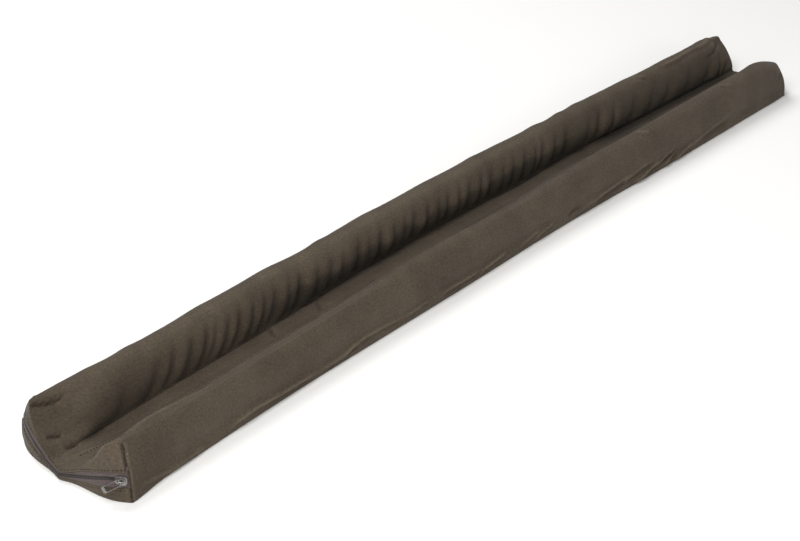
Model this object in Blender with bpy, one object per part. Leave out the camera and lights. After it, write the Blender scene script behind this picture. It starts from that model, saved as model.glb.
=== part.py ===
"""Double draught excluder: a cloth cover with two filled rolls joined by a flat web, and its end zip.

The rolls lie along X with the zip at -X. The front roll is at -Y and the rear roll at +Y.
The origin is on the floor, under the middle of the part. Sizes below are millimetres.
"""
import math
from collections import namedtuple

import bmesh
import bpy
from mathutils import Matrix, Vector

MM = 0.001

# Driving dimensions
LENGTH = 900.0        # length of a roll between its corner seams
BOW = 7.2             # how far the middle lies behind the two ends
CREST_HEIGHT = 39.0   # height of the corner seams
CORNER_SETBACK = 3.0  # how far the bottom corners lie inside half the length
END_BULGE = 11.5      # how far the end cloth stands out past the corners
END_POINT = 3.5       # extra reach of the fold in the middle of the end cloth
END_PUFF = 1.4        # how far the end cloth swells between the floor and its brow
CORNER_BELLY = 2.8    # how far a corner seam bows out sideways at mid height
END_RUN = 70.0        # length over which the plan curve of an end dies out
CHANNEL_START = 10.0  # how far from the zip end the channel between the rolls begins to sink
CHANNEL_RUN = 37.0    # length over which it sinks there
FOLD_LEAN = 12.0      # how far a fold runs along the roll while it climbs
STATION_GAP = 7.8     # widest step between two sections
SIGHT_SLOPE = 0.89    # slope of the front roll's inner top
ROOF_LIMIT = 41.0     # greatest height of the front roll's inner top
USUAL_TOP = 34.0      # usual place of that top, behind which the crown begins to sink
CROWN_SINK = 0.35     # how far the crown sinks for each millimetre past the usual place
END_MIDDLE = 30.0     # half the width over which an end changes from one roll's form to the other's
END_POINT_HALF = 9.0  # half width of the fold in the middle of the end cloth

# Half the width between the corners of each end: at the floor, at the crest
CORNERS = {-1: (58.0, 44.6), 1: (53.5, 44.0)}

# How far the end cloth leans in at the crest, and how far it reaches out past its usual place:
# at the front roll, at the rear roll
END_LEAN = {-1: (6.0, 2.0), 1: (6.0, 0.0)}
END_REACH = {-1: (0.0, 3.0), 1: (-3.0, 0.0)}

# Zip sizes
RECESS = 1.6          # depth of the slot between the two turned cloth edges
GAP = 0.36            # clearance between neighbouring pieces
TAPE_THICK = 0.9
LIP = 0.8             # height over which a turned cloth edge rolls into the slot
TOP_CLOTH = 1.0       # least height of cloth over the slot
COIL_HALF = 0.6
COIL_PROUD = 0.35

# The slider lies on the teeth at the front end of the zip, and the pull tab hangs from its loop
SLIDER_AT = 42.4      # where the slider lies, as a distance from the middle along the brow
SLIDER = (8.6, 6.8, 1.6)     # length, width and thickness of the slider's plate
LOOP_CLEAR = (3.6, 1.7)      # length and height of the room under the loop
LOOP_BAR = 0.7               # thickness of the loop
PULL = (14.5, 5.4, 1.1)      # length, width and thickness of the pull tab
PULL_WINDOW = (11.5, 4.0)    # length and width of the window in the pull tab
PULL_BAR = 1.0               # bar of the pull tab that passes under the loop
PULL_DROOP = math.radians(32)

# One half of the section, from the outer foot over the roll to the middle of the web. The y and
# z of each row are given at mid length, at the zip end, and at the far end of the rear roll and
# of the front roll; run is how far the end's form reaches along the roll; lean is the row's
# share of FOLD_LEAN; fold is how much of a fold shows there.
Row = namedtuple("Row", "name y z near_y near_z far_y far_z front_y front_z run lean fold")
SECTION = tuple(Row(*row) for row in (
    ("foot", 54.5, 0.0, 58.0, 0.0, 53.5, 0.0, 53.5, 0.0, 36, 0.0, 0.0),
    ("crease", 55.2, 5.5, 56.8, 9.6, 52.9, 7.0, 53.2, 6.5, 36, 0.0, 0.0),
    ("tuck", 53.6, 9.5, 56.6, 10.4, 52.0, 13.0, 52.6, 12.0, 36, 0.0, 0.0),
    ("side", 53.8, 18.0, 53.6, 21.0, 50.6, 19.5, 51.6, 17.5, 36, 0.1, 0.0),
    ("haunch", 51.8, 26.5, 53.2, 21.8, 48.6, 26.5, 50.1, 23.0, 36, 0.2, 0.0),
    ("shoulder", 48.9, 33.2, 49.2, 31.0, 46.0, 33.0, 48.0, 28.0, 36, 0.4, 0.1),
    ("crest", 45.6, 37.4, 44.6, 39.0, 43.0, 38.6, 44.8, 31.6, 36, 0.6, 0.2),
    ("crest_roll", 44.0, 38.8, 44.2, 39.3, 42.2, 39.2, 43.6, 32.1, 36, 0.7, 0.2),
    ("crown", 42.0, 39.8, 42.8, 39.6, 41.0, 39.6, 42.0, 32.4, 38, 0.8, 0.25),
    ("top", 37.2, 40.5, 38.8, 38.8, 37.4, 39.8, 37.0, 32.0, 42, 0.9, 0.3),
    ("inner_crest", 32.0, 38.8, 33.8, 32.8, 34.4, 35.4, 31.0, 30.0, 46, 1.0, 0.45),
    ("inner_shoulder", 26.6, 33.4, 28.8, 25.6, 29.6, 29.2, 24.5, 26.0, 48, 1.0, 0.7),
    ("inner_side", 22.2, 25.0, 24.0, 20.0, 24.6, 22.0, 19.6, 20.5, 50, 0.8, 1.0),
    ("belly", 20.2, 15.5, 19.4, 16.0, 20.4, 14.8, 17.8, 14.2, 50, 0.5, 1.0),
    ("tuck_in", 20.6, 8.4, 14.8, 12.8, 18.4, 9.2, 17.8, 9.0, 50, 0.2, 0.6),
    ("seam", 22.4, 3.4, 10.0, 10.4, 18.2, 4.6, 18.4, 4.6, 50, 0.0, 0.0),
    ("web_edge", 17.5, 2.8, 5.0, 9.0, 12.0, 4.2, 12.0, 4.2, 50, 0.0, 0.0),
    ("web_middle", 0.0, 3.0, 0.0, 8.5, 0.0, 4.2, 0.0, 4.2, 50, 0.0, 0.0),
))
NAMES = [row.name for row in SECTION]
CREST = NAMES.index("crest")
RING = 2 * len(SECTION) - 1
CHANNEL_ROWS = ("tuck_in", "seam", "web_edge", "web_middle")

# How closely the rows of the front roll's inner top follow the slope from its crest
ROOF_SHARE = {"top": 1.0, "inner_crest": 1.0, "inner_shoulder": 0.8, "inner_side": 0.4}

# Place of the web's seam on the rear roll, as uneven as the sewing: x, y
REAR_SEAM = ((-395, 18.5), (-340, 19.6), (-270, 19.8), (-176, 22.2), (-124, 24.3), (-18, 24.9),
             (40, 23.0), (90, 19.8), (150, 23.6), (225, 24.0), (289, 20.6), (380, 20.5))

# Where a level line just under crest height meets the front roll's inner top: x, y
FRONT_TOP = ((-450, 34.0), (-400, 35.0), (-380, 37.4), (-358, 40.4), (-300, 39.8), (-217, 38.8),
             (-180, 36.2), (-135, 33.0), (-84, 33.2), (-34, 35.4), (15, 36.4), (70, 32.2),
             (206, 32.6), (290, 31.2), (351, 30.0), (392, 30.0), (424, 26.4), (450, 26.4))

# Place of the front roll's foot: x, y
FRONT_FOOT = ((-420, 54.6), (-380, 53.8), (-277, 53.0), (-140, 54.6), (-60, 55.0), (24, 54.0),
              (114, 54.5), (209, 56.4), (317, 55.8), (400, 54.6))

# How far the rear roll's outer crest stands out from its usual place: x, y
REAR_CREST = ((-443, 0.6), (-396, -1.8), (-339, -2.2), (-276, -0.4), (-243, 0.2), (-176, -1.6),
              (-138, 0.2), (-62, 1.0), (63, 1.6), (107, 0.8), (152, 0.0), (201, 0.8), (302, 0.0),
              (355, 0.0), (413, 1.6), (450, 0.8))

# Height of the pinched edge along the front roll's foot: x, z
FRONT_EDGE = ((-450, 3.0), (-372, 4.0), (-341, 7.4), (-300, 6.4), (-257, 4.6), (-229, 3.8),
              (-205, 7.0), (-188, 6.2), (-151, 3.2), (-114, 7.0), (-61, 4.6), (-30, 7.0),
              (52, 8.6), (80, 9.8), (113, 8.8), (150, 6.0), (450, 5.0))
EDGE_TUCK = 3.6       # height from the pinched edge to the hollow over it

# Folds on the rear roll's inner side: x at the seam, half width, depth
REAR_FOLDS = ((-379, 9, 1.2), (-346, 8, 1.6), (-322, 7, 1.8), (-297, 6, 2.2), (-279, 6, 1.6),
              (-262, 6, 1.8), (-243, 6, 1.4), (-225, 6, 2.2), (-208, 6, 2.6), (-186, 8, 2.2),
              (-140, 8, 2.4), (-110, 7, 2.2), (-76, 8, 2.6), (-48, 7, 2.0), (-24, 7, 2.2),
              (-2, 6, 2.0), (26, 7, 2.4), (48, 6, 1.8), (90, 9, 2.4), (114, 6, 1.8), (131, 6, 2.4),
              (167, 8, 2.6), (213, 8, 2.8), (236, 6, 1.8), (279, 9, 2.0), (330, 10, 1.4),
              (403, 9, 2.2))

# Softer folds on the front roll's inner side: x at the seam, half width, depth
FRONT_FOLDS = ((-352, 9, 1.2), (-306, 8, 1.5), (-262, 9, 1.2), (-205, 9, 1.8), (-150, 8, 1.6),
               (-98, 9, 1.8), (-40, 8, 1.4), (18, 9, 1.8), (72, 8, 1.5), (128, 9, 1.8),
               (190, 8, 1.6), (248, 9, 1.4), (305, 9, 1.6), (362, 8, 1.3))

# Small swellings along the rear roll's top: x, half width, height
REAR_SWELLS = ((-410, 14, 0.9), (-372, 10, 1.0), (-300, 18, 0.8), (-226, 16, 0.9), (-166, 10, 1.2),
               (-110, 20, 0.7), (-30, 20, 0.6), (40, 12, 0.8), (130, 12, 1.2), (168, 9, 1.2),
               (196, 10, 0.8), (280, 22, 0.7), (350, 20, 0.6), (424, 11, 1.2))

# Diagonal pulls on the front roll's outer side: x at the foot, run along x, height, depth
SIDE_PULLS = ((-238, 26, 11, 0.9), (62, 24, 13, 0.9), (108, 44, 17, 1.1), (172, 62, 19, 1.3),
              (196, 50, 17, 1.0), (258, 68, 18, 1.0))
SIDE_PULL_WIDTH = 5.0

# Unevenness of the outer sides: wavelength over two pi, height
SIDE_WAVES = ((23.0, 0.5), (9.7, 0.4))

# The end's lower cloth edge, closed teeth and upper cloth edge: y, low, teeth, high
ZIP_LINE = ((-58, 11.2, 17.0, 22.8), (-50, 10.2, 17.2, 22.2), (-44, 9.2, 16.8, 21.2),
            (-38, 8.2, 15.2, 19.8), (-28, 6.2, 12.0, 16.6), (-18, 4.2, 8.8, 12.9),
            (-9, 2.4, 6.2, 9.8), (0, 1.5, 4.8, 7.8), (8, 2.0, 5.1, 8.4), (15, 3.8, 7.2, 11.4),
            (22, 7.4, 11.2, 15.8), (28, 10.4, 14.6, 19.4), (34, 12.8, 17.6, 22.4),
            (40, 15.0, 20.2, 24.8), (46, 16.8, 22.3, 27.0), (52, 17.8, 23.5, 28.4),
            (58, 18.2, 24.0, 29.0))

CLOTH_COLOUR = (0.066, 0.054, 0.043)
TAPE_COLOUR = (0.095, 0.074, 0.068)
COIL_COLOUR = (0.020, 0.017, 0.016)
METAL_COLOUR = (0.30, 0.29, 0.28)


def clear_scene():
    for obj in list(bpy.data.objects):
        bpy.data.objects.remove(obj)


def ease(t):
    t = min(max(t, 0.0), 1.0)
    return t * t * (3.0 - 2.0 * t)


def hump(t):
    return math.exp(-t * t)


def along(table, x, column=1):
    """Value of a table's column at x, on a smooth curve through its rows."""
    last = len(table) - 1
    if x <= table[0][0]:
        return table[0][column]
    if x >= table[last][0]:
        return table[last][column]
    n = next(i for i in range(last) if x <= table[i + 1][0])
    span = table[n + 1][0] - table[n][0]

    def slope(i):
        low, high = table[max(i - 1, 0)], table[min(i + 1, last)]
        return (high[column] - low[column]) / (high[0] - low[0]) * span

    t = (x - table[n][0]) / span
    start, rise = table[n][column], table[n + 1][column] - table[n][column]
    return (start + slope(n) * t * (1 - t) ** 2 + slope(n + 1) * t * t * (t - 1)
            + rise * t * t * (3 - 2 * t))


def material(name, colour, roughness, metallic=0.0):
    mat = bpy.data.materials.new(name)
    mat.use_nodes = True
    shader = mat.node_tree.nodes["Principled BSDF"]
    shader.inputs["Base Color"].default_value = (*colour, 1.0)
    shader.inputs["Roughness"].default_value = roughness
    shader.inputs["Metallic"].default_value = metallic
    return mat


def place(x, y, z):
    """A point of the section's frame in the part's frame, in metres, with the bow added."""
    bow = BOW * (1.0 - (2.0 * x / LENGTH) ** 2) - BOW / 2
    return Vector((x * MM, (y + bow) * MM, z * MM))


def section_stations():
    """Places along the rolls where the section is worked out: the folds, then steps between."""
    half = LENGTH / 2
    marks = {-half, -half + 6, -half + 13, half - 20, half - 13, half - 6, half}
    for x, width, depth in REAR_FOLDS:
        marks.update((x - width, x, x + width))
    kept = [-half]
    for x in sorted(marks):
        if x - kept[-1] > STATION_GAP * 0.5:
            kept.append(x)
    kept[-1] = half
    filled = [-half]
    for x in kept[1:]:
        start = filled[-1]
        steps = math.ceil((x - start) / STATION_GAP)
        filled.extend(start + (x - start) * n / steps for n in range(1, steps + 1))
    return filled


def fold_depth(x, side):
    """Depth of the folds on one roll's inner side; side is 1 at the rear and -1 at the front."""
    folds = REAR_FOLDS if side > 0 else FRONT_FOLDS
    return sum(depth * hump((x - spot) / width) for spot, width, depth in folds)


def side_pull(x, z):
    """Height of the diagonal pulls on the front roll's outer side."""
    total = 0.0
    for foot, run, height, depth in SIDE_PULLS:
        t = z / height
        across = (x - foot - run * t) * height / math.hypot(run, height)
        total += depth * hump(across / SIDE_PULL_WIDTH) * ease(1.6 * t) * ease(2.5 * (1.25 - t))
    return total


def front_row(name, x, y, z):
    """What the front roll's own tables make of a row at mid length."""
    if name in ROOF_SHARE:
        roof = CREST_HEIGHT - 1.0 - SIGHT_SLOPE * (along(FRONT_TOP, x) - y)
        z += (min(roof, ROOF_LIMIT) - z) * ROOF_SHARE[name]
    if name == "crown":
        z -= CROWN_SINK * max(along(FRONT_TOP, x) - USUAL_TOP, 0.0)
    if name in ("crease", "tuck"):
        z = along(FRONT_EDGE, x) + (EDGE_TUCK if name == "tuck" else 0.0)
    if name in ("foot", "crease", "tuck", "side"):
        y += along(FRONT_FOOT, x) - SECTION[0].y
    return y, z


def rear_row(name, x, y, z):
    """What the rear roll's own tables make of a row at mid length."""
    seam = along(REAR_SEAM, x)
    if name == "seam":
        y = seam
    if name == "tuck_in":
        y += 0.5 * (seam - y)
    if name in ("shoulder", "crest", "crest_roll", "crown"):
        y += along(REAR_CREST, x)
    return y, z


def half_section(x, side):
    """The half section at x, without folds, as (x, y, z, fold) from the foot to the web."""
    rows = []
    for row in SECTION:
        start, run = (CHANNEL_START, CHANNEL_RUN) if row.name in CHANNEL_ROWS else (0.0, row.run)
        to_near = 1.0 - ease((x + LENGTH / 2 - start) / run)
        if side < 0:
            y, z = front_row(row.name, x, row.y, row.z)
            far_y, far_z = row.front_y, row.front_z
            to_far = max(1.0 - (LENGTH / 2 - x) / row.run, 0.0) ** 2
            shift = 0.0
        else:
            y, z = rear_row(row.name, x, row.y, row.z)
            far_y, far_z = row.far_y, row.far_z
            to_far = 1.0 - ease((LENGTH / 2 - x) / row.run)
            shift = row.lean * FOLD_LEAN * ease(1.2 * (1.0 - max(to_near, to_far)))
        middle = 1.0 - max(to_near, to_far)
        rows.append((x + shift, y * middle + row.near_y * to_near + far_y * to_far,
                     z * middle + row.near_z * to_near + far_z * to_far, row.fold * middle))
    return rows


def outward(rows, index):
    """Direction out of the cloth at one row of the half section, as y and z."""
    before = rows[max(index - 1, 0)]
    after = rows[min(index + 1, len(rows) - 1)]
    dy, dz = after[1] - before[1], after[2] - before[2]
    size = math.hypot(dy, dz)
    return dz / size, -dy / size


def dressed_section(x, side):
    """The half section with its folds, pulls and swellings, as (x, y, z) in the section's frame."""
    rows = half_section(x, side)
    points = []
    for index, (px, y, z, fold) in enumerate(rows):
        out_y, out_z = outward(rows, index)
        shift = -fold * fold_depth(x, side)
        if NAMES[index] in ("crest", "crest_roll", "crown", "top") and side > 0:
            shift += sum(high * hump((px - spot) / width) for spot, width, high in REAR_SWELLS)
        if side < 0 and 0 < index < CREST:
            shift += side_pull(x, z)
        if NAMES[index] in ("side", "haunch", "shoulder"):
            shift += sum(high * math.sin(x / wave + high * side * 9) for wave, high in SIDE_WAVES)
        points.append((px, y + shift * out_y, max(z + shift * out_z, 0.0)))
    return points


def across_end(pair, y):
    """A value at y on the end cloth, eased from the front roll's to the rear roll's."""
    return pair[0] + (pair[1] - pair[0]) * ease((y + END_MIDDLE) / (2 * END_MIDDLE))


def end_x(end, y, z):
    """Where the end cloth lies, by its distance from the middle at the floor and its height."""
    across = min(abs(y) / CORNERS[end][0], 1.0)
    bulge = END_BULGE * (1.0 - across ** 4) + END_POINT * math.exp(-(abs(y) / END_POINT_HALF) ** 1.3)
    lean = across_end(END_LEAN[end], y) * (max(z, 0.0) / CREST_HEIGHT) ** 1.3
    return end * (LENGTH / 2 - CORNER_SETBACK + across_end(END_REACH[end], y) + bulge - lean)


def foot_y(end, y):
    """Where the line down the end cloth from y on the brow meets the floor."""
    floor, crest = CORNERS[end]
    return y * (1.0 + (floor / crest - 1.0) * min(abs(y) / crest, 1.0) ** 2)


def on_end(end, brow, level, depth=0.0):
    """A point of the end cloth at a level under a brow point, sunk in by depth."""
    t = level / brow[2]
    floor_y = foot_y(end, brow[1])
    swell = math.sin(math.pi * t)
    belly = CORNER_BELLY * swell * (brow[1] / CORNERS[end][1]) ** 3
    x = end_x(end, floor_y, level) + end * (END_PUFF * swell - depth)
    return x, floor_y + (brow[1] - floor_y) * t + belly, level


def ring_at(x):
    """The top outline at x from the front foot to the rear foot, with its end curved in plan."""
    front = [(px, -y, z) for px, y, z in dressed_section(x, -1)]
    ring = front + dressed_section(x, 1)[-2::-1]
    end = 1 if x > 0 else -1
    fade = 1.0 - ease((LENGTH / 2 - abs(x)) / END_RUN)
    if fade > 0.0:
        for k, (px, y, z) in enumerate(ring):
            on_corner = k <= CREST or k >= RING - 1 - CREST
            floor_y = math.copysign(CORNERS[end][0], y) if on_corner else foot_y(end, y)
            ring[k] = (px + (end_x(end, floor_y, z) - end * LENGTH / 2) * fade, y, z)
    return ring


def brow_points(end):
    """The outline at an end, the corner seams left out."""
    return ring_at(end * LENGTH / 2)[CREST + 1:RING - 1 - CREST]


def zip_heights(brow):
    """Lower cloth edge, teeth and upper cloth edge on the line under a brow point."""
    low, teeth, high = (along(ZIP_LINE, foot_y(-1, brow[1]), column) for column in (1, 2, 3))
    return low, teeth, min(high, brow[2] - TOP_CLOTH)


def end_levels(end, brow):
    """Heights and depths of the points down the end cloth; at the zip end they form its slot."""
    if end > 0:
        return [(brow[2] * n / CREST, 0.0) for n in range(CREST)]
    low, teeth, high = zip_heights(brow)
    return [(0.0, 0.0), (low, 0.0), (low + LIP, RECESS), (high - LIP, RECESS), (high, 0.0),
            ((high + brow[2]) / 2, 0.0)]


def end_columns(mesh, end, ring):
    """Columns of vertices up the end cloth, from the front corner seam to the rear one."""
    columns = [ring[:CREST + 1]]
    for brow, vertex in zip(brow_points(end), ring[CREST + 1:]):
        below = [on_end(end, brow, level, depth) for level, depth in end_levels(end, brow)]
        columns.append([mesh.verts.new(place(*point)) for point in below] + [vertex])
    columns.append(ring[:RING - 2 - CREST:-1])
    return columns


def add_grid(mesh, lines):
    for one, two in zip(lines, lines[1:]):
        for a, b, c, d in zip(one, one[1:], two[1:], two):
            mesh.faces.new((a, b, c, d))


def make_cover(collection, mat):
    mesh = bmesh.new()
    grid = [[mesh.verts.new(place(*point)) for point in ring_at(x)] for x in section_stations()]
    add_grid(mesh, grid)
    near = end_columns(mesh, -1, grid[0])
    far = end_columns(mesh, 1, grid[-1])
    add_grid(mesh, near)
    add_grid(mesh, far)
    floor = [ring[0] for ring in grid] + [column[0] for column in far[1:-1]]
    floor += [ring[-1] for ring in reversed(grid)] + [column[0] for column in near[-2:0:-1]]
    mesh.faces.new(floor)
    return finish(mesh, "cover", mat, collection)


def finish(mesh, name, mat, collection):
    bmesh.ops.recalc_face_normals(mesh, faces=mesh.faces)
    data = bpy.data.meshes.new(name)
    mesh.to_mesh(data)
    mesh.free()
    data.materials.append(mat)
    data.shade_smooth()
    data.set_sharp_from_angle(angle=math.radians(50))
    obj = bpy.data.objects.new(name, data)
    collection.objects.link(obj)
    return obj


def make_strip(name, heights, thick, mat, collection):
    """A band in the zip's slot; heights gives its lower and upper edge under a brow point."""
    mesh = bmesh.new()
    back = RECESS - GAP
    loops = []
    for brow in brow_points(-1):
        low, high = heights(brow)
        corners = ((low, back), (high, back), (high, back - thick), (low, back - thick))
        loop = [mesh.verts.new(place(*on_end(-1, brow, *corner))) for corner in corners]
        loops.append(loop)
    for one, two in zip(loops, loops[1:]):
        for n in range(4):
            mesh.faces.new((one[n], one[(n + 1) % 4], two[(n + 1) % 4], two[n]))
    mesh.faces.new(loops[0])
    mesh.faces.new(loops[-1])
    return finish(mesh, name, mat, collection)


def upper_tape(brow):
    low, teeth, high = zip_heights(brow)
    return teeth + COIL_HALF + GAP, high - LIP - GAP


def lower_tape(brow):
    low, teeth, high = zip_heights(brow)
    return low + LIP + GAP, teeth - COIL_HALF - GAP


def coil(brow):
    teeth = zip_heights(brow)[1]
    return teeth - COIL_HALF, teeth + COIL_HALF


def slider_frame():
    """Frame over the teeth at the slider: x along the zip to the middle, y down, z out."""
    brow_z = SECTION[NAMES.index("crown")].near_z

    def teeth_point(y, rise=0.0):
        brow = (0.0, y, brow_z)
        return place(*on_end(-1, brow, zip_heights(brow)[1] + rise))

    here = teeth_point(-SLIDER_AT)
    run = (teeth_point(SLIDER[0] / 3 - SLIDER_AT) - teeth_point(-SLIDER[0] / 3 - SLIDER_AT)).normalized()
    rise = teeth_point(-SLIDER_AT, SLIDER[1] / 3) - teeth_point(-SLIDER_AT, -SLIDER[1] / 3)
    out = run.cross(rise).normalized()
    if out.x > 0.0:
        out = -out
    down = out.cross(run).normalized()
    frame = Matrix((run, down, out)).transposed().to_4x4()
    base = TAPE_THICK + COIL_PROUD - (RECESS - GAP) + GAP
    return Matrix.Translation(here + out * base * MM) @ frame @ Matrix.Scale(MM, 4)


def add_block(mesh, low, high):
    """A box between two corners."""
    size = [b - a for a, b in zip(low, high)]
    middle = [(a + b) / 2 for a, b in zip(low, high)]
    matrix = Matrix.Translation(middle) @ Matrix.Diagonal((*size, 1.0))
    bmesh.ops.create_cube(mesh, size=1.0, matrix=matrix)


def add_slab(mesh, outline, low, high):
    """A flat plate with the outline given in its plane, from height low to height high."""
    face = mesh.faces.new([mesh.verts.new((x, y, low)) for x, y in outline])
    extruded = bmesh.ops.extrude_face_region(mesh, geom=[face])["geom"]
    moved = [item for item in extruded if isinstance(item, bmesh.types.BMVert)]
    bmesh.ops.translate(mesh, verts=moved, vec=(0.0, 0.0, high - low))


def joined(name, pieces, mat, collection):
    """One solid from overlapping or subtracted meshes: pieces are (mesh, operation) pairs."""
    first = finish(pieces[0][0], name, mat, collection)
    for number, (mesh, operation) in enumerate(pieces[1:]):
        tool = finish(mesh, "%s_tool_%d" % (name, number), mat, collection)
        boolean = first.modifiers.new("join", "BOOLEAN")
        boolean.operation = operation
        boolean.solver = "EXACT"
        boolean.object = tool
        depsgraph = bpy.context.evaluated_depsgraph_get()
        data = bpy.data.meshes.new_from_object(first.evaluated_get(depsgraph))
        first.modifiers.clear()
        first.data = data
        bpy.data.objects.remove(tool)
    mesh = bmesh.new()
    mesh.from_mesh(first.data)
    bmesh.ops.triangulate(mesh, faces=mesh.faces, ngon_method="EAR_CLIP")
    mesh.to_mesh(first.data)
    mesh.free()
    return first


def make_slider(collection, mat):
    length, width, thick = SLIDER
    half, side = length / 2, width / 2
    plate = bmesh.new()
    outline = ((-half, -side * 0.6), (-half * 0.5, -side), (half * 0.35, -side), (half, -side * 0.5),
               (half, side * 0.5), (half * 0.35, side), (-half * 0.5, side), (-half, side * 0.6))
    add_slab(plate, outline, 0.0, thick)
    room, clear = LOOP_CLEAR[0] / 2, thick + LOOP_CLEAR[1]
    loop = bmesh.new()
    outside, inside = room + LOOP_BAR, room
    profile = ((-outside, thick - 0.4), (-inside, thick - 0.4), (-inside, clear - 0.3),
               (-inside + 0.5, clear), (inside - 0.5, clear), (inside, clear - 0.3),
               (inside, thick - 0.4), (outside, thick - 0.4), (outside, clear), (inside, clear + LOOP_BAR),
               (-inside, clear + LOOP_BAR), (-outside, clear))
    add_slab(loop, profile, -LOOP_BAR / 2, LOOP_BAR / 2)
    bmesh.ops.rotate(loop, verts=loop.verts, matrix=Matrix.Rotation(math.radians(90), 3, "X"))
    slider = joined("zip_slider", ((plate, None), (loop, "UNION")), mat, collection)
    slider.matrix_world = slider_frame()
    return slider


def make_pull(collection, mat):
    length, width, thick = PULL
    window, opening = PULL_WINDOW
    start, half = -PULL_BAR / 2, width / 2
    base = SLIDER[2] + GAP
    tab = bmesh.new()
    outline = ((start, -half + 1.0), (start + 0.8, -half), (length - 1.8, -half),
               (length - 0.6, -half + 0.8), (length, -half + 2.0), (length, half - 2.0),
               (length - 0.6, half - 0.8), (length - 1.8, half), (start + 0.8, half),
               (start, half - 1.0))
    add_slab(tab, outline, base, base + thick)
    hole = bmesh.new()
    add_block(hole, (PULL_BAR / 2, -opening / 2, base - 1.0),
              (PULL_BAR / 2 + window, opening / 2, base + thick + 1.0))
    pull = joined("zip_pull", ((tab, None), (hole, "DIFFERENCE")), mat, collection)
    pull.matrix_world = slider_frame() @ Matrix.Rotation(PULL_DROOP, 4, "Z")
    return pull


def main():
    clear_scene()
    collection = bpy.data.collections.new("draught_excluder")
    bpy.context.scene.collection.children.link(collection)
    cloth = material("cover_cloth", CLOTH_COLOUR, 0.95)
    tape = material("zip_tape_cloth", TAPE_COLOUR, 0.9)
    teeth = material("zip_coil_nylon", COIL_COLOUR, 0.55)
    metal = material("zip_metal", METAL_COLOUR, 0.35, 1.0)
    make_cover(collection, cloth)
    make_strip("zip_tape_upper", upper_tape, TAPE_THICK, tape, collection)
    make_strip("zip_tape_lower", lower_tape, TAPE_THICK, tape, collection)
    make_strip("zip_coil", coil, TAPE_THICK + COIL_PROUD, teeth, collection)
    make_slider(collection, metal)
    make_pull(collection, metal)


main()
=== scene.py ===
import math
from collections import namedtuple

import bmesh
import bpy
import numpy as np
from mathutils import Matrix, Vector, noise


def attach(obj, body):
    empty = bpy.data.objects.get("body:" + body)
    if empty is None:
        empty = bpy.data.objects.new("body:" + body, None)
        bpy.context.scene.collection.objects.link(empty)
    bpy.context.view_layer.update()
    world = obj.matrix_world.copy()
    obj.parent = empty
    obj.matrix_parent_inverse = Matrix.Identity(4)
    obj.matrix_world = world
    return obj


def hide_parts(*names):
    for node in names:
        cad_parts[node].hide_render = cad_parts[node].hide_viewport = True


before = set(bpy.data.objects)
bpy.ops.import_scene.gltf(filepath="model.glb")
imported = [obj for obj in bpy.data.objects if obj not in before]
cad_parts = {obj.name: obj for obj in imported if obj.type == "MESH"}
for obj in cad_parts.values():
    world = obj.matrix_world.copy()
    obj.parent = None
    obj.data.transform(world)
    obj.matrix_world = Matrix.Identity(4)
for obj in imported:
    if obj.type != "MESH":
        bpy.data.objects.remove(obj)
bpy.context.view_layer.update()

MM = 0.001

# Sizes of the cover's section and ends, as in the CAD source
LENGTH = 900.0
BOW = 7.2
CREST_HEIGHT = 39.0
CORNER_SETBACK = 3.0
END_BULGE = 11.5
END_POINT = 3.5
END_PUFF = 1.4
CORNER_BELLY = 2.8
END_RUN = 70.0
CHANNEL_START = 10.0
CHANNEL_RUN = 37.0
FOLD_LEAN = 12.0
SIGHT_SLOPE = 0.89
ROOF_LIMIT = 41.0
USUAL_TOP = 34.0
CROWN_SINK = 0.35
END_MIDDLE = 30.0
END_POINT_HALF = 9.0
CORNERS = {-1: (58.0, 44.6), 1: (53.5, 44.0)}
END_LEAN = {-1: (6.0, 2.0), 1: (6.0, 0.0)}
END_REACH = {-1: (0.0, 3.0), 1: (-3.0, 0.0)}
RECESS = 1.6
GAP = 0.36
TAPE_THICK = 0.9
LIP = 0.8
TOP_CLOTH = 1.0
COIL_PROUD = 0.35
SLIDER_AT = 42.4
SLIDER = (8.6, 6.8, 1.6)
LOOP_CLEAR = (3.6, 1.7)
LOOP_BAR = 0.7
PULL = (14.5, 5.4, 1.1)
PULL_WINDOW = (11.5, 4.0)
PULL_BAR = 1.0
PULL_DROOP = math.radians(32)

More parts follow.
